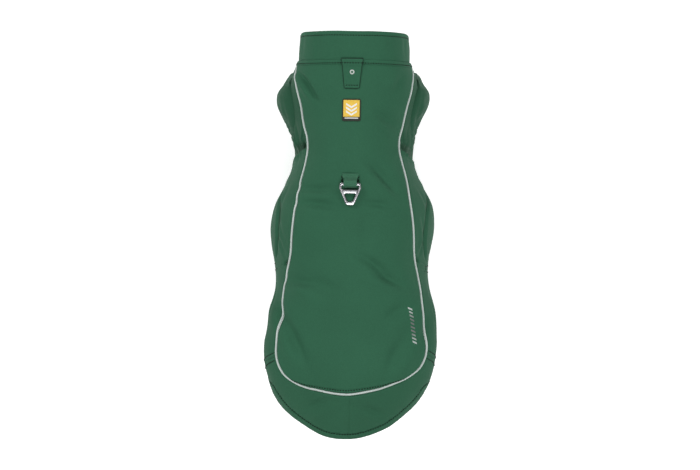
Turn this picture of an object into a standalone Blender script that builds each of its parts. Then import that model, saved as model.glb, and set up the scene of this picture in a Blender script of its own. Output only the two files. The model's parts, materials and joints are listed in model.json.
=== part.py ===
"""A dog jacket, filled out as on a standing dog: +Y to the head, +Z up, +X to the dog's right.

All sizes are in millimetres and are turned into metres where a mesh is made. The cloth follows one
body form, built from rings. A ring is named by its station, the distance from the collar's edge along
the back. Behind HIP the rings fan out round the rump, and the station goes on growing with the turn.
On a ring, an angle of 0 is the spine, 90 the widest level and 180 the middle of the belly.
"""

import math

import bmesh
import bpy
import numpy as np

MM = 0.001
WALL = 1.8  # cloth with its thin lining
SEAM = 0.25  # each edge's share of the gap at a seam
SEAM_ANGLE = 0.25  # the same, for a seam that runs along the body
CENTRE_SEAM = 0.6  # the same, at the middle of the tail, in stations
ORIGIN_STATION = 240.0  # the station at the part's origin

# The body's rings, as measured over the cloth.
RINGS = (
    # station, half_width, top, widest, bottom, lean (how far the belly side is moved to the head)
    (30, 66.5, 6.6, -60, -137, 20),
    (45, 71.0, 4.6, -66, -152, 17),
    (60, 74.0, 3.3, -73, -172, 13),
    (80, 76.5, 2.4, -82, -203, 8),
    (100, 76.0, 1.9, -90, -228, 4),
    (125, 74.0, 1.8, -97, -241, 1),
    (150, 74.5, 1.8, -104, -246, 0),
    (175, 83.5, 1.8, -109, -248, 0),
    (200, 97.0, 1.8, -112, -247, 0),
    (225, 102.0, 1.8, -112, -243, 0),
    (250, 98.8, 1.6, -107, -237, 0),
    (275, 94.0, 1.2, -97, -229, 0),
    (300, 93.8, 0.6, -84, -219, 0),
    (330, 100.2, -0.4, -72, -204, 0),
    (366, 105.2, -2.0, -62, -190, 0),
)
RING_COLUMNS = ("station", "half_width", "top", "widest", "bottom", "lean")
TOP_ROUNDNESS = 2.25  # the upper half's superellipse power; the lower half is a plain ellipse

# The rump, fanned out round a point on the spine at HIP.
HIP = 366.0
RUMP_RUN = 170.0  # how much station a quarter turn counts for
RUMP_REACH = (
    # turn, the outline's distance from the fan's centre
    (0, 105.2),
    (12, 106.5),
    (24, 109.0),
    (36, 110.8),
    (50, 111.3),
    (64, 112.0),
    (78, 113.8),
    (90, 115.0),
)
RUMP_DROP = (60.0, 97.0)  # from the spine down to the widest level, at the side and at the tail
RUMP_HEM = (106.0, 50.0)  # the hem's angle, at the side and at the tail

# The piped seam round the back panel: half of its width at each station, then its distance
# from the fan's centre at each turn of the rump.
PIPING_SIDE = (
    # station, half_width
    (36, 68.5),
    (47, 69.8),
    (62, 68.8),
    (85, 64.2),
    (110, 59.6),
    (125, 56.2),
    (138, 54.8),
    (152, 56.6),
    (177, 62.6),
    (205, 68.2),
    (240, 72.2),
    (283, 77.4),
    (325, 83.0),
    (366, 88.4),
)
PIPING_RUMP = (
    # turn, reach
    (0, 88.4),
    (12, 89.4),
    (20, 88.4),
    (28, 85.2),
    (36, 80.8),
    (46, 74.4),
    (56, 69.0),
    (68, 65.0),
    (80, 63.2),
    (90, 63.0),
)
PIPING_RADIUS = 1.3
PIPING_SINK = 0.75  # the cord's centre below the cloth's face
PIPING_CLEAR = 1.6  # from the cord's centre to each panel's edge
CORNER_TURN = 34.0  # where the back panel's side edge ends and its lower edge begins
BOW_FROM = 290.0  # the back panel's rows start to bend to its lower edge here

# Seams: the side panel's lower edge and the flank's hem, as angles at each station.
SHOULDER_LOWER = 98.0  # the angle of the seam before and behind the armhole
SIDE_LOWER = (
    # station, angle
    (140, 98),
    (159, 98),
    (175, 87),
    (195, 75),
    (219, 67),
    (242, 66.5),
    (255, 69.5),
    (264, 73.2),
    (272, 76.8),
    (281, 78),
)
FLANK_HEM = (
    # station, angle
    (281, 78),
    (300, 93),
    (325, 102),
    (366, 106),
)
NECK_SEAM = 36.0
BAND_END = 41.5
SIDE_FRONT = (137.0, 21.0)  # the side panel's front edge: its station at the piping, and how far it sweeps back
SIDE_REAR = (275.0, 6.0)
FLANK_REAR_TURN = 11.5  # the seam between flank and tail panel
CHEST_REAR = 150.0
BELLY_END = (279.0, 24.0)  # the belly's hem: its station at the side, and how far it cuts back at the middle

# The armhole, an ellipse in station and angle, and the sleeve that fills it.
ARMHOLE = {"station": 90.0, "half_station": 34.5, "angle": 98.0, "half_angle": 31.0}
SLEEVE = {
    "cuff_x": 65.0,
    "cuff_station": 55.0,
    "cuff_z": -256.0,
    "half_x": 26.0,
    "half_y": 33.0,
    "start": -0.6,  # its first ring against the cloth's face
    "inset": 0.7,
    "puff": 25.0,  # how strongly it leaves the body, at the least
    "puff_more": 107.0,  # added where it stands out most
    "puff_at": 10.0,  # degrees round the hole, from its top to the front
    "puff_narrow": 4.6,
    "forward": 40.0,
    "fall": 41.0,
    "cuff_down": 185.0,
}

COLLAR = {"height": 36.5, "tilt": 8.0, "wall": 2.4, "retreat": 5.0, "puff": 0.4, "draw_in": 2.2, "dip": 0.7}

# Soft hollows pressed into the cloth: the middle, which way each runs, and its size.
FOLDS = (
    # x, station, heading (0 to the right, 90 to the tail), half_length, half_width, depth
    (45, 172, 42, 26, 8, 2.2),
    (35, 283, 36, 34, 10, 2.8),
    (-20, 203, 6, 24, 6, 1.4),
    (40, 200, -4, 20, 6, 1.4),
    (-74, 350, 66, 24, 8, 2.4),
    (-36, 300, 22, 30, 9, 1.6),
    (62, 385, -58, 20, 8, 1.6),
)

# What is sewn on along the spine lies a little to the left of it.
LEFT_OF_SPINE = -2.6
TAB = {"start": 33.0, "end": 67.5, "half_start": 11.6, "half_end": 8.8, "wall": 1.6, "over_seam": 1.15}
LABEL = {"start": 81.0, "end": 105.8, "half_width": 10.3, "wall": 0.9}
CLEAR = 0.35  # between a piece and the cloth that it lies on

# The leash ring and its webbing. The ring's sizes are taken from its hinge line, to the tail.
RING = {
    "hinge_station": 180.8,
    "bar": 1.7,
    "half_top": 12.0,
    "half_widest": 12.9,
    "widest_at": 5.0,
    "half_tip": 4.6,
    "tip_at": 24.8,
    "slot_half": 9.9,
    "slot_end": 6.4,
    "eye_start": 11.0,
    "eye_half_start": 7.0,
    "eye_half_end": 2.9,
    "eye_end": 20.8,
    "half_thickness": 1.5,
}
WEBBING = {"half_width": 9.3, "wall": 1.3, "base_start": -11.5, "base_end": -6.4, "loop_inner": 2.75}

MATERIALS = {
    # colour, roughness, metallic
    "shell": ((0.040, 0.125, 0.070, 1.0), 0.75, 0.0),
    "shell_side": ((0.036, 0.112, 0.064, 1.0), 0.75, 0.0),
    "piping": ((0.34, 0.38, 0.36, 1.0), 0.4, 0.0),
    "webbing": ((0.020, 0.100, 0.050, 1.0), 0.8, 0.0),
    "metal": ((0.62, 0.62, 0.64, 1.0), 0.35, 1.0),
    "label": ((0.85, 0.55, 0.06, 1.0), 0.7, 0.0),
}


def smooth(table, column, at):
    """One column of a table at any value of its first column: a cubic through its rows."""
    rows = np.array(table, float)
    x, y = rows[:, 0], rows[:, column]
    step, rise = np.diff(x), np.diff(y)
    secant = rise / step
    slope = np.empty_like(y)
    slope[1:-1] = (secant[:-1] * step[1:] + secant[1:] * step[:-1]) / (step[:-1] + step[1:])
    slope[0], slope[-1] = secant[0], secant[-1]
    at = np.clip(np.asarray(at, float), x[0], x[-1])
    i = np.clip(np.searchsorted(x, at, side="right") - 1, 0, len(x) - 2)
    h = step[i]
    t = (at - x[i]) / h
    return (
        (2 * t**3 - 3 * t**2 + 1) * y[i]
        + (t**3 - 2 * t**2 + t) * h * slope[i]
        + (3 * t**2 - 2 * t**3) * y[i + 1]
        + (t**3 - t**2) * h * slope[i + 1]
    )


def ease(share):
    """A share from 0 to 1, made to start and stop gently."""
    share = np.clip(share, 0, 1)
    return share * share * (3 - 2 * share)


def ring_size(station, name):
    return smooth(RINGS, RING_COLUMNS.index(name), station)


def turn_of(station):
    """How far round the rump a station lies, in degrees; 0 on the straight body."""
    return np.clip((np.asarray(station, float) - HIP) / RUMP_RUN, 0, 1) * 90


def between(pair, turn):
    """A rump size at a turn, from its side value to its tail value."""
    return pair[0] + (pair[1] - pair[0]) * np.sin(np.radians(turn)) ** 2


def rump_hem(turn):
    return RUMP_HEM[0] + (RUMP_HEM[1] - RUMP_HEM[0]) * ease(turn / 90)


def reach_of(station):
    """Half width of the ring, or its reach from the fan's centre on the rump."""
    turn = turn_of(station)
    shown = np.sin(np.radians(np.minimum(rump_hem(turn), 90))) ** (2 / TOP_ROUNDNESS)
    return np.where(turn > 0, smooth(RUMP_REACH, 1, turn) / shown, ring_size(station, "half_width"))


def fold_depth(x, station):
    depth = np.zeros(np.broadcast(x, station).shape)
    for middle_x, middle, heading, half_length, half_width, deep in FOLDS:
        c, s = math.cos(math.radians(heading)), math.sin(math.radians(heading))
        dx, ds = x - middle_x, station - middle
        along, across = (dx * c + ds * s) / half_length, (ds * c - dx * s) / half_width
        depth = depth + deep * np.exp(-(along**2) - across**2)
    return depth


def bare(station, angle):
    """The body form's points, (..., 3), before its folds. A negative angle is on the left, where x is negative."""
    station, angle = np.broadcast_arrays(np.asarray(station, float), np.asarray(angle, float))
    side, theta = np.where(angle < 0, -1.0, 1.0), np.radians(np.abs(angle))
    turn = turn_of(station)
    top = ring_size(station, "top")
    drop = np.where(turn > 0, between(RUMP_DROP, turn), top - ring_size(station, "widest"))
    rise = ring_size(station, "widest") - ring_size(station, "bottom")
    upper = theta <= math.pi / 2
    sine, cosine = np.sin(theta), np.cos(theta)
    power = 2 / TOP_ROUNDNESS
    out = reach_of(station) * np.where(upper, np.abs(sine) ** power, np.abs(sine))
    z = top - drop + np.where(upper, drop * np.abs(cosine) ** power, -rise * np.abs(cosine))
    lean = ring_size(station, "lean") * ((1 - cosine) / 2) ** 1.5
    x = side * out * np.cos(np.radians(turn))
    back = np.minimum(station, HIP) + out * np.sin(np.radians(turn)) - lean
    return np.stack([x, ORIGIN_STATION - back, z], axis=-1)


def normal(station, angle):
    """The body form's outward direction."""
    step = 0.4
    side = np.where(np.asarray(angle) < 0, -1.0, 1.0)
    at = side * np.clip(np.abs(angle), step, 180 - step)
    along = bare(station + step, at) - bare(station - step, at)
    around = bare(station, at + side * step) - bare(station, at - side * step * 0.99)
    out = np.cross(along, around) * side[..., None]
    return out / np.linalg.norm(out, axis=-1, keepdims=True)


def surface(station, angle, lift=0.0):
    """The cloth's outer face, folds included, moved out by lift."""
    station, angle = np.broadcast_arrays(np.asarray(station, float), np.asarray(angle, float))
    point = bare(station, angle)
    inwards = fold_depth(point[..., 0], ORIGIN_STATION - point[..., 1]) * (np.abs(angle) < 100)
    return point + normal(station, angle) * (lift - inwards)[..., None]


def angle_at(station, out):
    """The upper half's angle where the cloth is this far out from the spine line."""
    share = np.clip(out / reach_of(station), 0, 1)
    return np.degrees(np.arcsin(share ** (TOP_ROUNDNESS / 2)))


def piping_out(station):
    turn = turn_of(station)
    return np.where(turn > 0, smooth(PIPING_RUMP, 1, turn), smooth(PIPING_SIDE, 1, station))


def piping_angle(station, further=0.0):
    """The piped seam's angle, or that of a line a little further out along the cloth."""
    angle = angle_at(station, piping_out(station))
    step = 0.5
    travel = np.linalg.norm(bare(station, angle + step) - bare(station, angle), axis=-1) / step
    return angle + further / travel


def over(x, station):
    """The ring and the angle of the upper face's point at x, this far along the back as seen from above."""
    x, station = np.broadcast_arrays(np.asarray(x, float), np.asarray(station, float))
    behind = np.maximum(station - HIP, 0)
    turn = np.degrees(np.arctan2(behind, np.abs(x) + 1e-6))
    ring = np.where(behind > 0, HIP + RUMP_RUN * turn / 90, station)
    out = np.where(behind > 0, np.hypot(x, behind), np.abs(x))
    return ring, angle_at(ring, out) * np.where(x < 0, -1, 1)


def material(name):
    colour, roughness, metallic = MATERIALS[name]
    made = bpy.data.materials.get(name) or bpy.data.materials.new(name)
    made.use_nodes = True
    shader = made.node_tree.nodes["Principled BSDF"]
    shader.inputs["Base Color"].default_value = colour
    shader.inputs["Roughness"].default_value = roughness
    shader.inputs["Metallic"].default_value = metallic
    return made


def place(name, data, finish):
    made = bpy.data.objects.new(name, data)
    data.materials.append(material(finish))
    JACKET.objects.link(made)
    return made


def shell(name, outer, inner, finish="shell", ring=False):
    """Cloth between two grids of points, closed at its rims. ring joins the last column to the first."""
    rows, columns = outer.shape[:2]
    corner = np.arange(rows * columns).reshape(rows, columns)
    if ring:
        corner = np.column_stack([corner, corner[:, 0]])
    under = corner + rows * columns
    faces = []
    for layer in (corner, under[:, ::-1]):
        quads = np.stack([layer[:-1, :-1], layer[:-1, 1:], layer[1:, 1:], layer[1:, :-1]], axis=-1)
        faces += quads.reshape(-1, 4).tolist()
    rims = [(corner[0], under[0]), (corner[-1], under[-1])]
    if not ring:
        rims += [(corner[:, 0], under[:, 0]), (corner[:, -1], under[:, -1])]
    for high, low in rims:
        faces += np.stack([high[:-1], high[1:], low[1:], low[:-1]], axis=-1).tolist()
    points = np.concatenate([outer.reshape(-1, 3), inner.reshape(-1, 3)]) * MM
    mesh = bpy.data.meshes.new(name)
    mesh.from_pydata(points.tolist(), [], faces)
    smoothed = 2 * (rows - 1) * (corner.shape[1] - 1)
    mesh.polygons.foreach_set("use_smooth", np.arange(len(faces)) < smoothed)
    outwards = bmesh.new()
    outwards.from_mesh(mesh)
    bmesh.ops.recalc_face_normals(outwards, faces=outwards.faces)
    outwards.to_mesh(mesh)
    outwards.free()
    return place(name, mesh, finish)


def cloth(name, station, angle, lift=0.0, wall=WALL, finish="shell_side", ring=False):
    """A grid of stations and angles cut out of the body form."""
    outer = surface(station, angle, lift)
    return shell(name, outer, surface(station, angle, lift - wall), finish, ring)


def patch(rows, columns):
    """Two grids of shares from 0 to 1: down the rows, and along the columns."""
    return np.meshgrid(np.linspace(0, 1, rows), np.linspace(0, 1, columns), indexing="ij")


def side_front(share):
    """The seam before the side panel, by the share of the way from the piping down to the armhole's level."""
    return SIDE_FRONT[0] + SIDE_FRONT[1] * share**1.5


def side_lower(station):
    return np.minimum(smooth(SIDE_LOWER, 1, station), SHOULDER_LOWER)


def side_rear(share):
    return SIDE_REAR[0] + SIDE_REAR[1] * share


def body_rows():
    """Stations from the neck to HIP, closer together where the piped seam bends in behind the shoulders."""
    first, bend, after = BAND_END + 2 * SEAM, 84, 174
    parts = np.linspace(first, bend, 6)[:-1], np.linspace(bend, after, 15)[:-1], np.linspace(after, HIP, 16)
    return np.concatenate(parts)


def back_panel():
    """The back, from the neck to its rounded lower edge: rows that start straight and end bowed."""
    corner = HIP + RUMP_RUN * CORNER_TURN / 90
    station = np.concatenate([body_rows(), np.linspace(HIP, corner, 8)[1:]])
    edge_angle = piping_angle(station, -PIPING_CLEAR)
    edge = bare(station, edge_angle)
    share = np.sin(np.linspace(-1.25, 1.25, 17)) / math.sin(1.25)
    straight = np.minimum(station, HIP)
    x = bare(straight[:, None], share * piping_angle(straight, -PIPING_CLEAR)[:, None])[..., 0]
    x = x / x[:, -1:] * edge[:, :1]
    turned = HIP + RUMP_RUN * np.linspace(CORNER_TURN / 90, 1, 60)
    lower = bare(turned, piping_angle(turned, -PIPING_CLEAR))
    lower_back = np.interp(np.abs(x[-1]), lower[::-1, 0], ORIGIN_STATION - lower[::-1, 1])
    edge_back = np.where(station > HIP, ORIGIN_STATION - edge[:, 1], station)[:, None]
    bowed = ease((edge_back - BOW_FROM) / (edge_back[-1] - BOW_FROM))
    back = edge_back + bowed**2 * (lower_back - edge_back[-1])
    return cloth("back_panel", *over(x, back), finish="shell")


def side_panel(side, name):
    down, along = patch(8, 22)
    front = side_front(down) + SEAM
    station = front + along * (side_rear(down) - SEAM - front)
    upper = piping_angle(station, PIPING_CLEAR)
    lower = side_lower(station) - SEAM_ANGLE
    return cloth(name, station, side * (upper + down * (lower - upper)))


def flank_panel(side, name):
    down, along = patch(7, 14)
    rear = HIP + RUMP_RUN * FLANK_REAR_TURN / 90 - SEAM
    front = side_rear(down) + SEAM
    station = front + along * (rear - front)
    upper = piping_angle(station, PIPING_CLEAR)
    hem = np.where(station > HIP, rump_hem(turn_of(station)), smooth(FLANK_HEM, 1, station))
    return cloth(name, station, side * (upper + down * (hem - upper)))


def tail_panel(side, name):
    down, along = patch(7, 20)
    front = HIP + RUMP_RUN * FLANK_REAR_TURN / 90 + SEAM
    station = front + along * (HIP + RUMP_RUN - CENTRE_SEAM - front)
    upper = piping_angle(station, PIPING_CLEAR)
    return cloth(name, station, side * (upper + down * (rump_hem(turn_of(station)) - upper)))


def armhole_edge(station, way):
    """The armhole's upper (-1) or lower (1) edge; before and behind it, the seam's own edge."""
    share = np.clip((station - ARMHOLE["station"]) / ARMHOLE["half_station"], -1, 1)
    return ARMHOLE["angle"] + way * (ARMHOLE["half_angle"] * np.sqrt(1 - share**2) + SEAM_ANGLE)


def armhole_stations(before, after):
    """Stations bunched to the armhole's two ends, with the panel's own ends before and after them."""
    inside = ARMHOLE["station"] - ARMHOLE["half_station"] * np.cos(np.linspace(0, math.pi, 15))
    return np.concatenate([np.linspace(before, inside[0], 3)[:-1], inside, np.linspace(inside[-1], after, 5)[1:]])


def shoulder_panel(side, name):
    """From the piping down to the armhole, and back to the side panel's swept front edge."""
    start, end = BAND_END + 2 * SEAM, side_front(1.0) - SEAM
    lowest = armhole_stations(start, end)
    share = np.linspace(0, 1, 8)[:, None]
    rear = ARMHOLE["station"] + ARMHOLE["half_station"]
    behind = np.maximum(lowest - rear, 0) / (end - rear)
    station = np.minimum(lowest, rear) + behind * (side_front(share) - SEAM - rear)
    upper = piping_angle(station, PIPING_CLEAR)
    angle = upper + share * (armhole_edge(lowest, -1) - upper)
    return cloth(name, station, side * angle)


def chest_panel():
    """Under the neck and between the legs, from one armhole round to the other."""
    station = armhole_stations(BAND_END + 2 * SEAM, CHEST_REAR - SEAM)[:, None]
    share = np.linspace(-1, 1, 23)[None, :]
    angle = 180 - (180 - armhole_edge(station, 1)) * np.abs(share)
    return cloth("chest_panel", station, np.where(share < 0, -1, 1) * angle)


def belly_panel():
    """Round under the body, from side panel to side panel, with a hem that is cut back at its middle."""
    share = np.linspace(-1, 1, 31)[None, :]
    along = np.linspace(0, 1, 18)[:, None]
    straight = CHEST_REAR + SEAM + along * (BELLY_END[0] - CHEST_REAR - SEAM)
    edge = side_lower(straight) + SEAM_ANGLE
    angle = 180 - (180 - edge) * np.abs(share) ** 0.95
    station = straight - along**3 * BELLY_END[1] * ease((angle - edge) / (180 - edge))
    return cloth("belly_panel", station, np.where(share < 0, -1, 1) * angle)


def grid_normal(points, middle):
    """A ring-shaped grid's directions away from its middle line."""
    along = np.gradient(points, axis=0)
    around = np.roll(points, -1, axis=1) - np.roll(points, 1, axis=1)
    out = np.cross(along, around)
    out /= np.linalg.norm(out, axis=-1, keepdims=True)
    return out * np.sign(np.sum(out * (points - middle), axis=(1, 2), keepdims=True))


def sleeve(side, name):
    """A tube from the armhole down to the cuff: it leaves the hole outwards and ends straight down."""
    s = SLEEVE
    around = np.linspace(0, 2 * math.pi, 29)[:-1][None, :]
    down = np.linspace(0, 1, 9)[:, None, None]
    top, front = (1 + np.cos(around)) / 2, np.sin(around)
    station = ARMHOLE["station"] - (ARMHOLE["half_station"] - s["inset"]) * front
    angle = side * (ARMHOLE["angle"] - (ARMHOLE["half_angle"] - s["inset"] / 1.5) * np.cos(around))
    hole = surface(station, angle, s["start"])
    near_shoulder = (1 + np.cos(around - math.radians(s["puff_at"]))) / 2
    puff = s["puff"] + s["puff_more"] * near_shoulder ** s["puff_narrow"]
    drift = np.array([0, s["forward"], -s["fall"]]) * top[..., None]
    leaves = normal(station, angle) * puff[..., None] + drift
    cuff_x = side * (s["cuff_x"] + s["half_x"] * np.cos(around))
    cuff_y = ORIGIN_STATION - s["cuff_station"] + s["half_y"] * front
    cuff = np.stack([cuff_x, cuff_y, np.full_like(around, s["cuff_z"])], axis=-1)
    arrives = np.array([0, 0, -s["cuff_down"]]) * (0.2 + 0.8 * top)[..., None]
    outer = (
        (2 * down**3 - 3 * down**2 + 1) * hole
        + (down**3 - 2 * down**2 + down) * leaves
        + (3 * down**2 - 2 * down**3) * cuff
        + (down**3 - down**2) * arrives
    )
    out = grid_normal(outer, outer.mean(axis=1, keepdims=True))
    return shell(name, outer, outer - out * WALL, "shell_side", ring=True)


def around_neck(columns):
    """Angles all the way round a ring, right side first."""
    angle = np.linspace(0, 360, columns + 1)[:-1]
    return np.where(angle > 180, angle - 360, angle)


def neck_band():
    """The turned edge that is stitched down over the collar's seam."""
    station = np.linspace(NECK_SEAM + SEAM, BAND_END, 4)[:, None]
    share = (station - NECK_SEAM) / (BAND_END - NECK_SEAM)
    lift = 0.25 + 0.9 * np.sin(math.pi * share) ** 0.7
    station, angle, lift = np.broadcast_arrays(station, around_neck(44)[None, :], lift)
    outer, inner = surface(station, angle, lift), surface(station, angle, -WALL)
    return shell("neck_band", outer, inner, ring=True)


def collar():
    """A standing tube on the neck seam, its edge drawn in and lower at the sides."""
    angle = around_neck(44)[None, :]
    up = np.linspace(0, 1, 5)[:, None]
    foot = surface(np.full_like(angle, NECK_SEAM), angle)
    tilt = math.radians(COLLAR["tilt"])
    axis = np.array([0.0, math.cos(tilt), math.sin(tilt)])
    outwards = (foot - [0, 0, -65]) * [1, 0, 1]
    outwards /= np.linalg.norm(outwards, axis=-1, keepdims=True)
    dip = COLLAR["dip"] * np.exp(-((angle / 14) ** 2))
    height = COLLAR["height"] - COLLAR["retreat"] * ease((np.abs(angle) - 50) / 45) - dip
    rise = 0.5 + up * (height - 0.5)
    puff = COLLAR["puff"] * np.sin(math.pi * up) - COLLAR["draw_in"] * up
    outer = foot + rise[..., None] * axis + puff[..., None] * outwards
    share = ease(up * 2)[..., None]
    through = normal(np.full_like(angle, NECK_SEAM), angle) * (1 - share) + outwards * share
    through /= np.linalg.norm(through, axis=-1, keepdims=True)
    return shell("collar", outer, outer - COLLAR["wall"] * through, ring=True)


def light_tab():
    """A tapered loop of shell cloth over the neck seam."""
    down, across = patch(11, 4)
    station = TAB["start"] + down * (TAB["end"] - TAB["start"])
    half = TAB["half_start"] + down * (TAB["half_end"] - TAB["half_start"])
    lift = TAB["wall"] + CLEAR + TAB["over_seam"] * (1 - ease((station - BAND_END) / 5))
    ring, angle = over(LEFT_OF_SPINE + (2 * across - 1) * half, station)
    return cloth("light_tab", ring, angle, lift, TAB["wall"], "shell")


def label():
    down, across = patch(4, 4)
    x = LEFT_OF_SPINE + (2 * across - 1) * LABEL["half_width"]
    ring, angle = over(x, LABEL["start"] + down * (LABEL["end"] - LABEL["start"]))
    return cloth("label", ring, angle, LABEL["wall"] + CLEAR, LABEL["wall"], "label")


def piping():
    """The reflective cord in the seam round the back panel, neck to neck."""
    side = np.concatenate([body_rows(), HIP + RUMP_RUN * np.linspace(0, 1, 29)[1:]])
    side[0] += 0.5
    points = surface(side, piping_angle(side), -PIPING_SINK)
    left = points[:-1] * [-1, 1, 1]
    path = np.concatenate([points, left[::-1]])
    curve = bpy.data.curves.new("piping", "CURVE")
    curve.dimensions = "3D"
    curve.bevel_depth = PIPING_RADIUS * MM
    curve.bevel_resolution = 1
    curve.use_fill_caps = True
    line = curve.splines.new("POLY")
    line.points.add(len(path) - 1)
    line.points.foreach_set("co", np.column_stack([path * MM, np.ones(len(path))]).ravel())
    return place("piping", curve, "piping")


def flat_curve(name, outlines, half_depth, bevel, finish):
    """A flat plate with holes: closed outlines in millimetres, thickened both ways and rounded at its edges."""
    curve = bpy.data.curves.new(name, "CURVE")
    curve.dimensions = "2D"
    curve.fill_mode = "BOTH"
    curve.extrude = (half_depth - bevel) * MM
    curve.bevel_depth = bevel * MM
    curve.bevel_resolution = 1
    curve.offset = -bevel * MM
    for outline in outlines:
        line = curve.splines.new("POLY")
        line.points.add(len(outline) - 1)
        flat = [(x * MM, y * MM, 0, 1) for x, y in outline]
        line.points.foreach_set("co", np.array(flat).ravel())
        line.use_cyclic_u = True
    return place(name, curve, finish)


def rounded(corners, radius, steps=4):
    """A closed outline through these corners, each cut by an arc."""
    outline = []
    count = len(corners)
    for i in range(count):
        before, at, after = (np.array(corners[(i + k) % count], float) for k in (-1, 0, 1))
        a, b = before - at, after - at
        a, b = a / np.linalg.norm(a), b / np.linalg.norm(b)
        half = math.acos(np.clip(a @ b, -1, 1)) / 2
        reach = radius / math.tan(half)
        for t in np.linspace(0, 1, steps):
            outline.append(tuple(at + a * reach * (1 - t) ** 2 + b * reach * t**2))
    return outline


def leash_ring():
    """A flat cast ring: a bar that the webbing holds, a slot for the webbing, a crossbar and an eye."""
    r = RING
    outer = [
        (-r["half_top"], r["bar"]),
        (r["half_top"], r["bar"]),
        (r["half_widest"], -r["widest_at"]),
        (r["half_tip"], -r["tip_at"]),
        (-r["half_tip"], -r["tip_at"]),
        (-r["half_widest"], -r["widest_at"]),
    ]
    slot = [
        (-r["slot_half"], -r["bar"]),
        (r["slot_half"], -r["bar"]),
        (r["slot_half"], -r["slot_end"]),
        (-r["slot_half"], -r["slot_end"]),
    ]
    eye = [
        (-r["eye_half_start"], -r["eye_start"]),
        (r["eye_half_start"], -r["eye_start"]),
        (r["eye_half_end"], -r["eye_end"]),
        (-r["eye_half_end"], -r["eye_end"]),
    ]
    outlines = [rounded(outer, 3.6), rounded(slot, 0.7, 3), rounded(eye, 1.8)]
    made = flat_curve("leash_ring", outlines, r["half_thickness"], 0.5, "metal")
    made.location = hinge_point() * MM
    made.rotation_euler = (ring_tilt(), 0, 0)
    return made


def hinge_point():
    """The middle of the ring's bar, held in the webbing's loop above the back."""
    under = surface(*over(LEFT_OF_SPINE, RING["hinge_station"]))
    return under + [0, 0, CLEAR + WEBBING["wall"] + WEBBING["loop_inner"]]


def ring_tilt():
    """The ring's slope from its hinge down to where its tip lies just off the cloth."""
    tip = surface(*over(LEFT_OF_SPINE, RING["hinge_station"] + RING["tip_at"]))
    fall = hinge_point()[2] - tip[2] - RING["half_thickness"] - 2 * CLEAR
    return math.asin(fall / RING["tip_at"])


def leash_webbing():
    """A loop of webbing round the ring's bar, both ends sewn to the back."""
    w = WEBBING
    outside, inside = w["loop_inner"] + w["wall"], w["loop_inner"]
    turn = np.linspace(-math.pi / 2, math.pi / 2, 9)
    bend, base_top = [(math.cos(t), math.sin(t)) for t in turn], 2 * w["wall"] - outside
    outer = [(w["base_start"], -outside), *[(outside * x, outside * y) for x, y in bend]]
    outer += [(-2.2, 3.75), (w["base_end"], base_top), (w["base_start"], base_top)]
    hole = [(-5.0, -inside), *[(inside * x, inside * y) for x, y in bend], (-1.2, 2.6), (-5.0, -2.1)]
    made = flat_curve("leash_webbing", [outer, hole], w["half_width"], 0.0, "webbing")
    made.location = hinge_point() * MM
    made.rotation_euler = (math.pi / 2, 0, -math.pi / 2)
    return made


for old in list(bpy.data.objects):
    bpy.data.objects.remove(old)
JACKET = bpy.data.collections.new("dog_jacket")
bpy.context.scene.collection.children.link(JACKET)

back_panel()
for side, word in ((1, "right"), (-1, "left")):
    side_panel(side, f"side_panel_{word}")
    flank_panel(side, f"flank_panel_{word}")
    tail_panel(side, f"tail_panel_{word}")
    shoulder_panel(side, f"shoulder_panel_{word}")
    sleeve(side, f"sleeve_{word}")
chest_panel()
belly_panel()
neck_band()
collar()
light_tab()
label()
piping()
leash_webbing()
leash_ring()
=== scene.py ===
import json
import math

import bmesh
import bpy
import numpy as np
from mathutils import Matrix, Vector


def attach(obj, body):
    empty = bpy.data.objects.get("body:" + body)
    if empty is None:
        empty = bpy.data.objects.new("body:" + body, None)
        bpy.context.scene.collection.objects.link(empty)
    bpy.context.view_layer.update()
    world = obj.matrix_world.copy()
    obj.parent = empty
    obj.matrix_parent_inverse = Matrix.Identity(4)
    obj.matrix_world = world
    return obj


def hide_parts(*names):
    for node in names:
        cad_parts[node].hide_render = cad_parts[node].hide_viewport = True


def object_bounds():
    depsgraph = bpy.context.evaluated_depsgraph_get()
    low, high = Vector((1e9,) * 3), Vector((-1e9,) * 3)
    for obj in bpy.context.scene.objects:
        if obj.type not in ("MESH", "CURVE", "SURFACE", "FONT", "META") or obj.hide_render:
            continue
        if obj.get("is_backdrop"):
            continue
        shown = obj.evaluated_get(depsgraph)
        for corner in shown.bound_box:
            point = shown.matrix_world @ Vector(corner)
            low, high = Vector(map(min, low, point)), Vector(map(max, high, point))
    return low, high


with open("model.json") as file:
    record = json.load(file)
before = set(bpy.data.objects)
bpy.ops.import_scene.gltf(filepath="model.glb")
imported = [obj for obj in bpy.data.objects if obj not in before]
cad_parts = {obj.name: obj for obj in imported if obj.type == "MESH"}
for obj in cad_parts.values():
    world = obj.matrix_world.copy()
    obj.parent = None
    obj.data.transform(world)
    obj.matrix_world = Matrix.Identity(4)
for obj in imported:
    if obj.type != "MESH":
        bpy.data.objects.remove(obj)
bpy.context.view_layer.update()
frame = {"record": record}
print("frame loaded")

mm = 0.001  # every size below is in millimetres
originStation = 240.0  # the station at the part's origin
wall = 1.8  # cloth with its lining
seamGap = 0.02  # between a seam's line and each panel's edge, in stations
perDegree = 1.62  # about as far as a degree goes round the body

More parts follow.
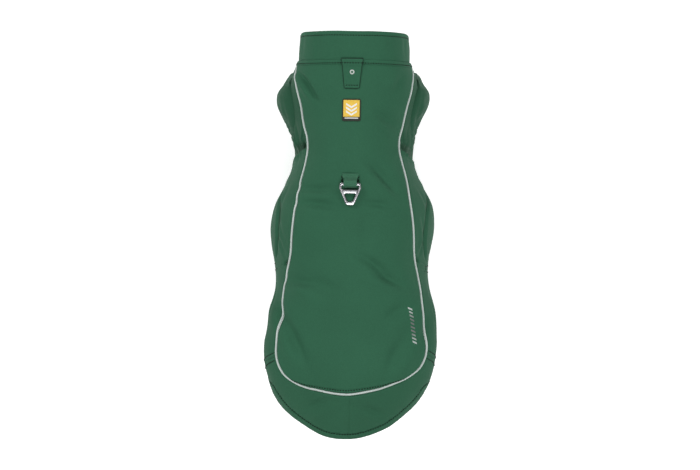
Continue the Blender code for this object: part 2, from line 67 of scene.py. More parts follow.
# The jacket's form, the same as in the model: a ring for each station, which is the distance from the collar
# along the back.
rings = (
    # station, halfWidth, top, widest, bottom, lean
    (30, 65.4, 6.6, -60, -137, 20),
    (45, 74.0, 4.6, -66, -152, 17),
    (60, 78.0, 3.3, -73, -172, 13),
    (80, 78.0, 2.4, -82, -203, 8),
    (100, 76.0, 1.9, -90, -228, 4),
    (125, 74.0, 1.8, -97, -241, 1),
    (150, 74.8, 1.8, -104, -246, 0),
    (175, 84.8, 1.8, -109, -248, 0),
    (200, 98.1, 1.8, -112, -247, 0),
    (225, 101.4, 1.8, -112, -243, 0),
    (250, 98.3, 1.6, -107, -237, 0),
    (275, 94.3, 1.2, -97, -229, 0),
    (300, 94.2, 0.6, -84, -219, 0),
    (330, 100.5, -0.4, -72, -204, 0),
    (366, 104.9, -2.0, -62, -190, 0),
)
ringColumns = ("station", "halfWidth", "top", "widest", "bottom", "lean")
topRoundness = 2.25
# The filled body leans a little to its right: how far its middle lies aside, by the station.
aside = (
    (30, 0), (125, 0), (150, 0.3), (175, 1.7), (200, 2.0), (225, 0.6),
    (250, 0), (275, 0.8), (300, 2.1), (330, 1.9), (366, 0.5),
)
hip = 366.0  # behind this the rings fan out round the rump
rumpRun = 170.0  # the stations of a quarter turn round it
rumpReach = (
    # turn, left, right
    (0, 104.9, 104.9),
    (12, 106.0, 105.6),
    (24, 108.4, 107.6),
    (36, 113.0, 109.8),
    (50, 115.5, 110.9),
    (64, 115.6, 112.3),
    (78, 116.2, 114.2),
    (90, 115.7, 115.7),
)
rumpDrop = (60.0, 97.0)  # from the back down to the widest level, at the hip and at the tail
rumpHemAngles = (106.0, 50.0)  # the hem's angle, at the hip and at the tail
pipingSide = (
    # station, x of the left and of the right run
    (36, 69.0, 70.0),
    (47, 71.3, 72.3),
    (62, 69.5, 70.2),
    (85, 63.8, 64.1),
    (110, 60.2, 60.9),
    (125, 56.1, 57.4),
    (138, 54.9, 56.5),
    (152, 56.8, 58.6),
    (177, 62.4, 64.8),
    (205, 67.3, 69.9),
    (240, 71.4, 74.0),
    (262, 73.5, 76.8),
    (283, 77.9, 81.2),
    (300, 80.0, 83.6),
    (325, 83.8, 85.6),
    (346, 86.0, 88.9),
    (366, 87.0, 91.2),
)
pipingRump = (
    # turn, reach of the left and of the right run
    (0, 87.5, 90.7),
    (12, 88.9, 91.0),
    (20, 88.9, 88.6),
    (28, 87.6, 82.2),
    (36, 83.5, 76.1),
    (46, 76.9, 70.0),
    (56, 70.0, 65.6),
    (68, 65.0, 62.0),
    (80, 62.3, 60.9),
    (90, 61.3, 61.3),
)
cornerTurn = 34.0  # where the back's side edges end and its rounded lower edge starts
bowFrom = 290.0  # from here on the back's rows bow towards that edge
shoulderLower = 98.0  # the angle of the shoulder's seam with the sleeve
sideLowerEdge = (
    # station, angle
    (140, 98),
    (159, 98),
    (175, 87),
    (191, 74),
    (205, 65.5),
    (219, 62),
    (242, 62.8),
    (255, 67.6),
    (264, 72),
    (272, 76),
    (281, 78),
)
# the flank's hem from its front corner to the hip: station, angle
flankHem = ((281, 78.1), (281.4, 90), (282.4, 95), (287, 97), (300, 99), (325, 103), (366, 106))
neckSeam = 34.2  # the collar's foot
bandEnd = 39.3  # the neck band's lower edge
sideFrontEdge = (137.0, 21.0)  # its station at the piping, and how much further back below
sideRearEdge = {1: (266.5, 8.0), -1: (272.8, 8.2)}  # its station at the piping, and how much further back below
flankRear = {1: (8.5, 6.5), -1: (12.0, 6.3)}  # the turn of its seam at the piping, and how much more at the hem
chestRear = 150.0  # the seam between chest and belly
bellyEnd = (280.4, 25.4)  # its station at the sides, and how much further forward in the middle
armhole = {"station": 90.0, "halfStation": 34.5, "angle": 98.0, "halfAngle": 31.0}
leftOfSpine = -2.6  # where the tab, label and ring are sewn


def cubic(share, start, leaves, end, arrives):
    # a curve from start to end that sets out and arrives with the given speeds
    near, far = 2 * share**3 - 3 * share**2 + 1, 3 * share**2 - 2 * share**3
    return near * start + (share**3 - 2 * share**2 + share) * leaves + far * end + (share**3 - share**2) * arrives


def smoothTable(table, column, at):
    # a cubic through one column of a table, at any value of its first column
    rows = np.array(table, float)
    x, y = rows[:, 0], rows[:, column]
    step = np.diff(x)
    secant = np.diff(y) / step
    slope = np.empty_like(y)
    slope[1:-1] = (secant[:-1] * step[1:] + secant[1:] * step[:-1]) / (step[:-1] + step[1:])
    slope[0], slope[-1] = secant[0], secant[-1]
    at = np.clip(np.asarray(at, float), x[0], x[-1])
    i = np.clip(np.searchsorted(x, at, side="right") - 1, 0, len(x) - 2)
    return cubic((at - x[i]) / step[i], y[i], step[i] * slope[i], y[i + 1], step[i] * slope[i + 1])


def ease(share):
    # a cubic from 0 to 1, level at both ends
    share = np.clip(share, 0, 1)
    return share * share * (3 - 2 * share)


def bell(distance, width=1.0):
    # a gaussian, 1 in its middle
    return np.exp(-((distance / width) ** 2))


def ringSize(station, name):
    return smoothTable(rings, ringColumns.index(name), station)


def turnOf(station):
    return np.clip((np.asarray(station, float) - hip) / rumpRun, 0, 1) * 90


def rumpBetween(pair, turn):
    return pair[0] + (pair[1] - pair[0]) * np.sin(np.radians(turn)) ** 2


def rumpHem(turn):
    return rumpHemAngles[0] + (rumpHemAngles[1] - rumpHemAngles[0]) * ease(turn / 90)


def asideAt(station):
    return smoothTable(aside, 1, station)


def twoSided(table, side, at):
    return np.where(np.asarray(side) < 0, smoothTable(table, 1, at), smoothTable(table, 2, at))


def unit(vectors):
    return vectors / np.linalg.norm(vectors, axis=-1, keepdims=True)


def reachOf(station, side):
    turn = turnOf(station)
    shown = np.sin(np.radians(np.minimum(rumpHem(turn), 90))) ** (2 / topRoundness)
    return np.where(turn > 0, twoSided(rumpReach, side, turn) / shown, ringSize(station, "halfWidth"))


def bareForm(station, angle):
    # the body form: a superellipse above its widest level, an ellipse below, turned round the rump behind the hip
    station, angle = np.broadcast_arrays(np.asarray(station, float), np.asarray(angle, float))
    side, theta = np.where(angle < 0, -1.0, 1.0), np.radians(np.abs(angle))
    turn = turnOf(station)
    top = ringSize(station, "top")
    drop = np.where(turn > 0, rumpBetween(rumpDrop, turn), top - ringSize(station, "widest"))
    rise = ringSize(station, "widest") - ringSize(station, "bottom")
    upper = theta <= math.pi / 2
    sine, cosine = np.sin(theta), np.cos(theta)
    power = 2 / topRoundness
    out = reachOf(station, side) * np.where(upper, np.abs(sine) ** power, np.abs(sine))
    z = top - drop + np.where(upper, drop * np.abs(cosine) ** power, -rise * np.abs(cosine))
    lean = ringSize(station, "lean") * ((1 - cosine) / 2) ** 1.5
    x = side * out * np.cos(np.radians(turn)) + asideAt(station)
    back = np.minimum(station, hip) + out * np.sin(np.radians(turn)) - lean
    return np.stack([x, originStation - back, z], axis=-1)


def formNormal(station, angle):
    # the cross product of the form's two directions
    step = 0.4
    side = np.where(np.asarray(angle) < 0, -1.0, 1.0)
    at = side * np.clip(np.abs(angle), step, 180 - step)
    along = bareForm(station + step, at) - bareForm(station - step, at)
    around = bareForm(station, at + side * step) - bareForm(station, at - side * step * 0.99)
    return unit(np.cross(along, around) * side[..., None])


creaseValues = {
    "strength": 2.8,  # of the upper side's creases
    "upperEnds": 84,  # the angle at which they start to fade, and over how many degrees
    "fade": 18,
    "waves": 9,  # the long waves, and their height for each millimetre of length
    "waveShare": 0.0056,
    "seed": 23,
}
# Creases pressed into the upper side, each a soft trough with a low ridge beside it.
upperCreases = (
    # x, station, heading (0 to the right, 90 to the tail), halfLength, halfWidth, depth, bend
    (38, 171, 45, 25, 6.0, 2.0, 0.25),
    (-42, 186, 2, 20, 4.6, 1.2, -0.2),
    (-40, 204, 7, 22, 5.0, 1.3, 0.15),
    (31, 203, 6, 15, 4.0, 1.1, 0.2),
    (30, 276, 34, 26, 5.5, 1.7, 0.2),
    (42, 290, 22, 20, 5.0, 1.3, 0.1),
    (-60, 296, 12, 15, 5.0, 1.3, 0.0),
    (-34, 300, 22, 30, 9.0, 1.4, -0.2),
    (-67, 362, 62, 32, 6.0, 1.9, 0.15),
    (54, 330, -33, 16, 7.0, 1.2, 0.1),
    (54, 380, -64, 20, 8.0, 1.5, 0.2),
    (36, 101, 29, 13, 5.0, 1.1, 0.0),
    (-60, 56, 56, 13, 2.6, 1.3, 0.1),
    (-55, 64, 60, 13, 2.6, 1.2, 0.0),
    (-49, 74, 52, 10, 2.4, 0.9, 0.0),
    (52, 60, 118, 12, 4.0, 0.7, 0.0),
    (-8, 136, 84, 34, 9.0, 0.7, 0.1),
    (16, 236, 96, 36, 10.0, 0.7, -0.1),
    (-84, 338, 84, 20, 5.0, 1.2, 0.1),
    (88, 352, 96, 18, 5.0, 1.0, -0.1),
    (30, 448, 20, 16, 5.0, 0.9, 0.1),
    (-38, 441, -24, 15, 5.0, 0.9, 0.0),
)
# Creases on the sides and underneath, by their ring and angle.
wrapCreases = (
    # station, angle, heading (0 down round the body, 90 to the tail), halfLength, halfWidth, depth
    (150, 86, 48, 13, 4.0, 0.6),
    (163, 82, 30, 16, 4.6, 0.6),
    (152, -88, 52, 14, 4.2, 0.6),
    (167, -84, 36, 17, 5.0, 0.6),
    (126, -66, 84, 17, 5.0, 3.4),
    (128, 66, 84, 14, 4.5, 2.4),
    (232, 58, 62, 16, 3.4, 1.3),
    (252, 60, 112, 14, 3.0, 1.2),
    (228, -57, 66, 18, 3.4, 1.4),
    (250, -58, 70, 15, 3.0, 1.3),
    (196, -62, 82, 18, 4.2, 1.2),
    (200, 63, 80, 16, 4.2, 1.1),
    (318, -78, 84, 22, 3.4, 1.1),
    (330, 76, 92, 22, 3.2, 1.1),
    (206, 108, 78, 30, 7.0, 1.5),
    (247, 96, -46, 22, 6.0, 1.4),
    (222, -102, 82, 28, 6.0, 1.5),
    (250, -118, 40, 30, 8.0, 1.5),
    (128, 148, 84, 30, 7.0, 1.6),
    (186, 150, 62, 36, 8.0, 1.4),
    (134, -158, 96, 28, 7.0, 1.5),
    (214, -162, 12, 32, 9.0, 1.3),
    (236, 166, 30, 30, 8.0, 1.2),
    (70, 160, 88, 24, 6.0, 1.3),
    (58, -150, 70, 20, 5.0, 1.2),
    (127, 84, 76, 15, 3.0, 1.7),
    (116, 76, 84, 13, 2.6, 1.2),
    (128, -85, 72, 16, 3.2, 1.9),
    (114, -77, 86, 14, 2.6, 1.3),
    (62, 84, 66, 15, 3.4, 1.5),
    (66, -86, 74, 15, 3.6, 1.4),
    (128, 56, 80, 13, 1.6, 2.4),
    (135, 55, 46, 10, 1.5, 2.4),
    (131, 64, 92, 12, 1.9, 3.0),
    (128, -55, 100, 13, 1.6, 2.8),
    (133, -56, 134, 11, 1.5, 2.9),
    (131, -63, 88, 13, 1.9, 3.4),
    (124, -72, 74, 13, 1.9, 2.6),
)


def trough(u, v, heading, halfLength, halfWidth, deep, bend=0.0, ridge=0.45):
    # a gaussian trough along a crease's line, which may bend, less a low ridge two widths to its side
    c, s = math.cos(math.radians(heading)), math.sin(math.radians(heading))
    along = (u * c + v * s) / halfLength
    across = (v * c - u * s) / halfWidth - bend * along**2
    return deep * bell(along) * (bell(across) - ridge * bell(across - 2, 1.2))


def creaseDepth(point, station, angle):
    # the creases of both tables, and long seeded waves
    v = creaseValues
    x, back = point[..., 0], originStation - point[..., 1]
    depth = np.zeros(x.shape)
    for x0, s0, *crease in upperCreases:
        depth += trough(x - x0, back - s0, *crease)
    depth *= v["strength"] * (1 - ease((np.abs(angle) - v["upperEnds"]) / v["fade"]))
    for s0, a0, *crease in wrapCreases:
        depth += trough((angle - a0) * perDegree, station - s0, *crease)
    seeded = np.random.default_rng(v["seed"])
    for _ in range(v["waves"]):
        way = seeded.normal(size=3) * [1, 1, 0.6]
        length = seeded.uniform(30, 105)
        way *= 2 * math.pi / length / np.linalg.norm(way)
        depth += length * v["waveShare"] * np.sin(point @ way + seeded.uniform(0, 2 * math.pi))
    return depth


def clothFace(station, angle, lift=0.0):
    # the cloth's outer face, creased, moved out by lift
    station, angle = np.broadcast_arrays(np.asarray(station, float), np.asarray(angle, float))
    point = bareForm(station, angle)
    return point + formNormal(station, angle) * (lift - creaseDepth(point, station, angle))[..., None]


def angleAt(station, side, out):
    share = np.clip(out / reachOf(station, side), 0, 1)
    return np.degrees(np.arcsin(share ** (topRoundness / 2)))


def pipingOut(station, side):
    # how far out from the body's middle the piping runs
    turn = turnOf(station)
    before = twoSided(pipingSide, side, station) - side * asideAt(station)
    return np.where(turn > 0, twoSided(pipingRump, side, turn), before)


def pipingAngle(station, side, further=0.0):
    # the angle, without its sign, of the piping on one side, or of a line further down beside it
    angle = angleAt(station, side, pipingOut(station, side))
    here, below = (bareForm(station, side * each) for each in (angle, angle + 0.5))
    travel = np.linalg.norm(below - here, axis=-1) / 0.5  # millimetres for each degree
    return angle + further / travel


def over(x, station):
    # the ring and angle of the upper side's point at x, this far along the back as seen from above
    x, station = np.broadcast_arrays(np.asarray(x, float), np.asarray(station, float))
    x = x - asideAt(station)
    side = np.where(x < 0, -1.0, 1.0)
    behind = np.maximum(station - hip, 0)
    turn = np.degrees(np.arctan2(behind, np.abs(x) + 1e-6))
    ring = np.where(behind > 0, hip + rumpRun * turn / 90, station)
    out = np.where(behind > 0, np.hypot(x, behind), np.abs(x))
    return ring, angleAt(ring, side, out) * side


def node(tree, kind, inputs=None, **settings):
    # one shader node, with its inputs set from values or joined to other nodes' outputs
    made = tree.nodes.new(kind)
    for name, value in settings.items():
        setattr(made, name, value)
    for name, value in (inputs or {}).items():
        if isinstance(value, bpy.types.NodeSocket):
            tree.links.new(value, made.inputs[name])
        else:
            made.inputs[name].default_value = value
    return made


def maths(tree, operation, a, b=0.0, c=0.0):
    return node(tree, "ShaderNodeMath", {0: a, 1: b, 2: c}, operation=operation).outputs[0]


def times(tree, a, b, more=0.0):
    # a times b, plus more
    return maths(tree, "MULTIPLY_ADD", a, b, more)


def wave(tree, value, length):
    # a sine along a value in metres, its length in millimetres
    return maths(tree, "SINE", times(tree, value, 2 * math.pi / (length * mm)))


def parts(tree, vector):
    return node(tree, "ShaderNodeSeparateXYZ", {0: vector}).outputs


def stretched(tree, vector, scale, turned=0.0):
    inputs = {"Vector": vector, "Rotation": (0, 0, turned), "Scale": scale}
    return node(tree, "ShaderNodeMapping", inputs).outputs[0]


def mixed(tree, share, a, b):
    return node(tree, "ShaderNodeMix", {0: share, 6: a, 7: b}, data_type="RGBA").outputs[2]


def toned(tree, colour, value):
    return node(tree, "ShaderNodeHueSaturation", {"Color": colour, "Value": value}).outputs[0]


def spread(tree, value, low, high, least, most):
    # a value from low to high turned into one from least to most
    inputs = {"Value": value, "From Min": low, "From Max": high, "To Min": least, "To Max": most}
    return node(tree, "ShaderNodeMapRange", inputs).outputs[0]


def noise(tree, vector, scale, detail=2.0, roughness=0.5):
    inputs = {"Vector": vector, "Scale": scale, "Detail": detail, "Roughness": roughness}
    return node(tree, "ShaderNodeTexNoise", inputs).outputs[0]


def newMaterial(name):
    made = bpy.data.materials.new(name)
    made.use_nodes = True
    tree = made.node_tree
    where = node(tree, "ShaderNodeTexCoord")
    return made, tree, where.outputs["Object"], where.outputs["UV"]


socketNames = {
    "gloss": "Specular IOR Level",
    "sheen": "Sheen Weight",
    "sheenRough": "Sheen Roughness",
    "sheenTint": "Sheen Tint",
    "metal": "Metallic",
    "glow": "Emission Strength",
    "glowTint": "Emission Color",
}


def finish(made, colour, roughness, height, strength, distance, **settings):
    # joins the three patterns to the material's shader; the settings are the same all over it
    tree = made.node_tree
    shader = tree.nodes["Principled BSDF"]
    bump = node(tree, "ShaderNodeBump", {"Height": height, "Strength": strength, "Distance": distance * mm})
    for name, output in (("Base Color", colour), ("Roughness", roughness), ("Normal", bump.outputs[0])):
        tree.links.new(output, shader.inputs[name])
    for name, value in settings.items():
        shader.inputs[socketNames[name]].default_value = value
    return made


def weave(tree, uv, pitch):
    # a twill: a sine across each thread, the one way's stepped along by half with each thread of the other
    u, v = (times(tree, part, 2 * math.pi / (pitch * mm)) for part in parts(tree, uv)[:2])
    stepped = times(tree, v, 0.5, times(tree, u, 0.5))
    warp = times(tree, maths(tree, "SINE", u), maths(tree, "SINE", stepped))
    return times(tree, warp, 0.6, times(tree, maths(tree, "SINE", v), 0.4))


def clothMaterial(name, values):
    # woven cloth: thread by thread change of colour, faint clouds of fading, and a fine woven bump
    made, tree, where, uv = newMaterial(name)
    threads = weave(tree, uv, values["thread"])
    fleck = noise(tree, where, 900, 2, 0.6)
    cloud = noise(tree, where, 14, 3, 0.55)
    slub = noise(tree, stretched(tree, uv, (2600, 160, 1)), 1, 1)
    shade = times(tree, threads, 0.16, spread(tree, fleck, 0.3, 0.7, 0.25, 0.75))
    shade = times(tree, slub, 0.25, maths(tree, "SUBTRACT", shade, 0.12))
    colour = mixed(tree, shade, values["dark"], values["light"])
    tone = spread(tree, cloud, 0.3, 0.7, 1 - values["clouds"], 1 + values["clouds"])
    rough = times(tree, fleck, 0.12, values["roughness"] - 0.06)
    height = times(tree, fleck, 0.6, times(tree, threads, 0.5))
    settings = {each: values[each] for each in ("sheen", "sheenRough", "sheenTint", "gloss")}
    return finish(made, toned(tree, colour, tone), rough, height, values["strength"], values["bump"], **settings)


shellFinish = {
    "dark": (0.0215, 0.0900, 0.0490, 1),
    "light": (0.0325, 0.1270, 0.0700, 1),
    "thread": 0.62,
    "clouds": 0.045,
    "roughness": 0.80,
    "strength": 0.35,
    "bump": 0.12,
    "sheen": 0.02,
    "sheenRough": 0.5,
    "sheenTint": (0.55, 0.75, 0.62, 1),
    "gloss": 0.13,
}
# the side, flank, tail, chest and belly panels: the shell's cloth with painted shade, its colours a little darker
# since these panels face away from the light
sideShadedFinish = dict(shellFinish, dark=(0.0210, 0.0850, 0.0465, 1), light=(0.0315, 0.1205, 0.0660, 1))
# the sleeves and shoulder panels: the shell's cloth again, with darker painted shade for their shaded sides and
# armpits
sleeveShadedFinish = dict(shellFinish, dark=(0.0170, 0.0690, 0.0375, 1), light=(0.0255, 0.0980, 0.0530, 1))
liningFinish = dict(
    shellFinish,
    dark=(0.0160, 0.0560, 0.0310, 1),
    light=(0.0270, 0.0860, 0.0480, 1),
    thread=1.3,
    bump=0.3,
    sheen=0.12,
    roughness=0.9,
)
shellCloth = clothMaterial("green_shell_cloth", shellFinish)
sideShadedCloth = clothMaterial("green_side_cloth_painted_shade", sideShadedFinish)
lining = clothMaterial("green_brushed_lining", liningFinish)
sleeveShadedCloth = clothMaterial("green_sleeve_cloth_painted_shade", sleeveShadedFinish)


def threadMaterial(name, dark, light):
    # twisted sewing thread: slanting plies along its own length
    made, tree, where, uv = newMaterial(name)
    u, v, _ = parts(tree, uv)
    slant = times(tree, u, 9000, times(tree, v, 6.283))
    ply = spread(tree, maths(tree, "SINE", slant), -1, 1, 0, 1)
    share = times(tree, ply, 0.6, times(tree, noise(tree, where, 700), 0.4))
    rough = spread(tree, ply, 0, 1, 0.7, 0.55)
    return finish(made, mixed(tree, share, dark, light), rough, ply, 0.5, 0.08, gloss=0.25)


# the stitches' thread: partly its own dark green, and made near black as painted shade of the holes the stitches
# sink into
threadWithPaintedShade = threadMaterial("dark_green_thread_painted_shade", (0.001, 0.006, 0.003, 1), (0.005, 0.020, 0.011, 1))


def bunched(length, pitch, end=True):
    # shares from 0 to 1, closer together near the sewn ends, where stitches and edges need them
    near = np.array([0, 0.25, 0.6, 1.1, 1.8, 2.7, 3.8, 4.7, 5.3, 5.9, 6.5, 7.4])
    last = length - (near if end else near[:1])[::-1]
    middle = np.linspace(near[-1], last[0], max(2, int(round((last[0] - near[-1]) / pitch)) + 1))[1:-1]
    return np.concatenate([near, middle, last]) / length


def patch(down, across):
    return np.meshgrid(down, across, indexing="ij")


def addMesh(name, points, faces, uv, materials, faceMaterial=None, body="jacket"):
    # a finished piece: points in millimetres, faces of four, uv in metres at each point
    mesh = bpy.data.meshes.new(name)
    mesh.from_pydata((points * mm).tolist(), [], faces.tolist())
    layer = mesh.uv_layers.new(name="cloth")
    layer.data.foreach_set("uv", uv[faces.ravel()].ravel())
    for each in materials:
        mesh.materials.append(each)
    if faceMaterial is not None:
        mesh.polygons.foreach_set("material_index", faceMaterial)
    mesh.polygons.foreach_set("use_smooth", np.ones(len(faces), bool))
    mesh.update()
    made = bpy.data.objects.new(name, mesh)
    bpy.context.scene.collection.objects.link(made)
    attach(made, body)
    return made


def quads(number):
    # four-sided faces between the neighbours in a grid of point numbers
    corners = (number[:-1, :-1], number[:-1, 1:], number[1:, 1:], number[1:, :-1])
    return np.stack(corners, axis=-1).reshape(-1, 4)


def copies(faces, count, size):
    # the faces of one piece again for each of its copies, which have this many points each
    return (faces[None] + (np.arange(count) * size)[:, None, None]).reshape(-1, 4)


def gridFaces(outer, under, ring=False):
    # the faces of two grids of point numbers and of the rims between them, all turned the same way
    if ring:
        outer, under = (np.column_stack([each, each[:, 0]]) for each in (outer, under))
    rims = [quads(np.stack([outer[0], under[0]]))[:, ::-1], quads(np.stack([outer[-1], under[-1]]))]
    if not ring:
        rims.append(quads(np.stack([outer[:, 0], under[:, 0]])))
        rims.append(quads(np.stack([outer[:, -1], under[:, -1]]))[:, ::-1])
    return quads(outer), quads(under)[:, ::-1], np.concatenate(rims)


def gridLengths(points):
    # distances along the rows and down the columns, from each grid line's start
    across = np.zeros(points.shape[:2])
    down = np.zeros(points.shape[:2])
    across[:, 1:] = np.cumsum(np.linalg.norm(np.diff(points, axis=1), axis=-1), axis=1)
    down[1:] = np.cumsum(np.linalg.norm(np.diff(points, axis=0), axis=-1), axis=0)
    return across, down


def shellPiece(name, outer, inner, materials, ring=False):
    # a wall of cloth between two grids, lined on its inner face
    number = np.arange(outer[..., 0].size).reshape(outer.shape[:2])
    top, low, rims = gridFaces(number, number + number.size, ring)
    faces = np.concatenate([top, low, rims])
    points = np.concatenate([outer.reshape(-1, 3), inner.reshape(-1, 3)])
    a, b, c = (points[top[:, k]] for k in (0, 1, 2))
    if np.sum(np.cross(b - a, c - b) * (points[: number.size] - points[number.size :])[top[:, 0]]) < 0:
        faces = faces[:, ::-1]
    across, down = gridLengths(outer)
    flat = np.stack([across - across[:, -1:] / 2, down], axis=-1).reshape(-1, 2) * mm
    kinds = np.repeat([0, 1, 0], [len(top), len(low), len(rims)])
    return addMesh(name, points, faces, np.concatenate([flat, flat]), materials, kinds)


edgeFinish = {
    "seamSink": 0.7,  # how far a seamed edge turns down
    "seamWidth": 0.95,
    "allowance": 0.22,  # the seam allowance under the cloth
    "allowanceEnd": 6.2,
    "pipingSink": 1.5,
    "pipingWidth": 1.3,
    "hemRise": 0.5,  # the turned hem's second layer
    "hemSink": 2.0,
    "stitchAt": 5.9,  # a hem's stitches, from its edge
    "seamStitchAt": 4.7,
    "stitchSink": 0.7,
    "insideOutline": 6.2,  # the tail's hem stitches, seen from above
    "pucker": 0.16,
}


def puckers(along, seed):
    # uneven little waves along a seam: four sines of odd lengths, each drawn out and in by a slower one
    seeded = np.random.default_rng(seed)
    total = np.zeros_like(along)
    for length in (5.3, 8.1, 12.7, 21.0):
        start, drift = seeded.uniform(0, 6.3), seeded.uniform(0, 6.3)
        total += np.sin(2 * math.pi * along / length + start + 0.8 * np.sin(along / 17 + drift))
    return total / 2


def edgeLift(kind, distance, along, seed, hemAt=edgeFinish["stitchAt"]):
    # how an edge stands, by the distance from it: turned down, backed by its allowance, and puckered
    e = edgeFinish
    if kind == "none":
        return np.zeros_like(distance)
    if kind == "soft":  # a seam pressed open under a fold
        return -0.3 * bell(distance, 0.7)
    pucker = puckers(along, seed) * e["pucker"]
    if kind == "hem":
        lift = e["hemRise"] * (1 - ease((distance - hemAt - 0.9) / 1.6)) - 0.85 * bell(distance, 0.42)
        lift -= e["hemSink"] * bell(distance - hemAt, 1.1)
        return lift + pucker * (2.2 * bell(distance - hemAt - 2.6, 2.6) + bell(distance - 3, 3))
    first = "piping" if kind.startswith("piping") else "seam"
    lift = e["allowance"] * ease((distance - 0.8) / 1.4) * (1 - ease((distance - e["allowanceEnd"]) / 3))
    lift -= e[first + "Sink"] * bell(distance, e[first + "Width"])
    if kind.endswith("stitched"):
        lift += 0.2 * bell(distance - 2.4, 1.3) - e["stitchSink"] * bell(distance - e["seamStitchAt"], 0.7)
    return lift + pucker * ease(distance / 2) * np.exp(-distance / 8)


edgesOf = {}  # each piece's outer grid and its outward directions, for the stitches


# cover is by default the side cloth, with its painted shade
def panel(name, station, angle, edges, slot="shell_side", cover=sideShadedCloth, seed=1, extra=0.0, **hem):
    # a panel of cloth cut out of the body form; edges are the kinds of its first and last rows and columns
    base, out = clothFace(station, angle), formNormal(station, angle)
    across, down = gridLengths(base)
    sides = ((down, across), (down[-1:] - down, across), (across, down), (across[:, -1:] - across, down))
    level = 1 - 0.85 * bell(np.abs(angle) - 90, 15)  # seams across the body lie flat where it is widest
    lifts = []
    for number, (kind, (distance, along)) in enumerate(zip(edges, sides)):
        lift = edgeLift(kind, distance, along, seed * 7 + number, hem.get("at", edgeFinish["stitchAt"]))
        if kind == "hem":
            lift = lift * hem.get("share", 1.0)
        lifts.append(lift * level if number > 1 or name == "belly_cloth" else lift)
    lift = np.minimum(lifts, 0).min(axis=0) + np.maximum(lifts, 0).max(axis=0) + extra
    outer = base + out * lift[..., None]
    inner = base + out * (np.minimum(lift * 0.35, 0.1) - wall)[..., None]
    edgesOf[name] = (outer, out)
    return shellPiece(name, outer, inner, [cover, lining])


def declareCloth(made, node, withPieces=()):
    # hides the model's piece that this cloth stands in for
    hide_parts(node)


pipingClear = 1.0  # from the cord's centre to the cloth's edge


def backGrid():
    # rows that start straight across and end bowed along the rounded lower edge, each side by itself
    corner = hip + rumpRun * cornerTurn / 90
    first = bandEnd + 0.1
    station = first + bunched(corner - first, 1.5) * (corner - first)
    straight = np.minimum(station, hip)
    middle = asideAt(station)[:, None]
    share = 2 * bunched(150, 1.5) - 1
    share = np.sin(share * 1.25) / math.sin(1.25) * 0.25 + share * 0.75  # closer together towards the piping
    turned = hip + rumpRun * np.linspace(cornerTurn / 90, 1, 240)
    halves, sideBack = [], {}
    for side, part in ((-1, share[share < 0]), (1, share[share >= 0])):
        edge = bareForm(station, side * pipingAngle(station, side, -pipingClear))
        sideBack[side] = np.where(station > hip, originStation - edge[:, 1], station)[:, None]
        x = bareForm(straight[:, None], part * pipingAngle(straight, side, -pipingClear)[:, None])[..., 0]
        outmost = x[:, :1] if side < 0 else x[:, -1:]
        x = (x - middle) / (outmost - middle) * (edge[:, :1] - middle) + middle
        lower = bareForm(turned, side * pipingAngle(turned, side, -pipingClear))
        reach = side * (lower[:, 0] - middle[-1])
        lowerBack = np.interp(side * (x[-1] - middle[-1]), reach[::-1], originStation - lower[::-1, 1])
        halves.append((side, part, x, lowerBack))
    mean = (sideBack[-1] + sideBack[1]) / 2
    backs = []
    for side, part, x, lowerBack in halves:
        edgeBack = mean + (sideBack[side] - mean) * part**2
        bowed = ease((sideBack[side] - bowFrom) / (sideBack[side][-1] - bowFrom))
        backs.append(edgeBack + bowed**2 * (lowerBack - edgeBack[-1]))
    return np.concatenate([half[2] for half in halves], axis=1), np.concatenate(backs, axis=1)


webbingPlace = {"portalStart": 173.2, "portalEnd": 179.5, "halfWidth": 10.2, "depth": 1.8, "edge": 0.9}


def portalSink(x, back):
    # the slot that the webbing comes out of: steep at its upper lip, running out gently to the tail
    w = webbingPlace
    sides = 1 - ease((np.abs(x - leftOfSpine) - w["halfWidth"] + w["edge"]) / w["edge"])
    start = ease((back - w["portalStart"] + 1.6) / 1.2)
    end = 1 - ease((back - w["portalEnd"] + 3.5) / 8)
    return w["depth"] * sides * start * end


x, back = backGrid()
station, angle = over(x, back)
underLabel = 0.35 * np.exp(-(((x - leftOfSpine) / 11) ** 8) - (((back - 93.4) / 13.2) ** 8))
kinds = ("soft", "piping_stitched", "piping", "piping")
backCloth = panel("back_cloth", station, angle, kinds, "shell", shellCloth, 3, -portalSink(x, back) - underLabel)
declareCloth(backCloth, "back_panel")
print("back made")


def sideFront(share):
    return sideFrontEdge[0] + sideFrontEdge[1] * share**1.5


def sideRear(side, share):
    return sideRearEdge[side][0] + sideRearEdge[side][1] * share


def sideLower(station):
    return np.minimum(smoothTable(sideLowerEdge, 1, station), shoulderLower)


def flankSeam(side, share):
    return hip + rumpRun * (flankRear[side][0] + flankRear[side][1] * share) / 90


def downFromPiping(side, station, share, lower):
    # the angle, without its sign, of a share of the way from the piping down to a panel's lower edge
    upper = pipingAngle(station, side, pipingClear)
    return upper + share * (lower - upper)


foldsBeside = {
    # depths, and the widths that go with them
    "gash": (6.0, 2.2),
    "lip": (1.7, 3.4),
    "valley": (3.6, 8.0, 3.4),
    "armpit": (9.0, 0.34),
}
sideSize = (60, 140)  # about how far the side panel runs down and along


def gash(beside, down):
    # the side and flank panels are pulled in together where their seam meets the piping
    deep, width = foldsBeside["gash"]
    return -deep * bell(beside, width) * ease(down / 0.03) * (1 - ease((down - 0.12) / 0.16))


def sideLip(down, along):
    # the side panel's front edge stands up over the armpit, where the sleeve's cloth runs in under it
    high, width = foldsBeside["lip"]
    return high * bell(along * sideSize[1], width) * ease(down / 0.12) * (1 - ease((down - 0.55) / 0.3))


def valley(station):
    # how deep the side panel's and the belly's cloth fall together, along their seam
    return foldsBeside["valley"][0] * ease((station - 172) / 26) * (1 - ease((station - 258) / 12))


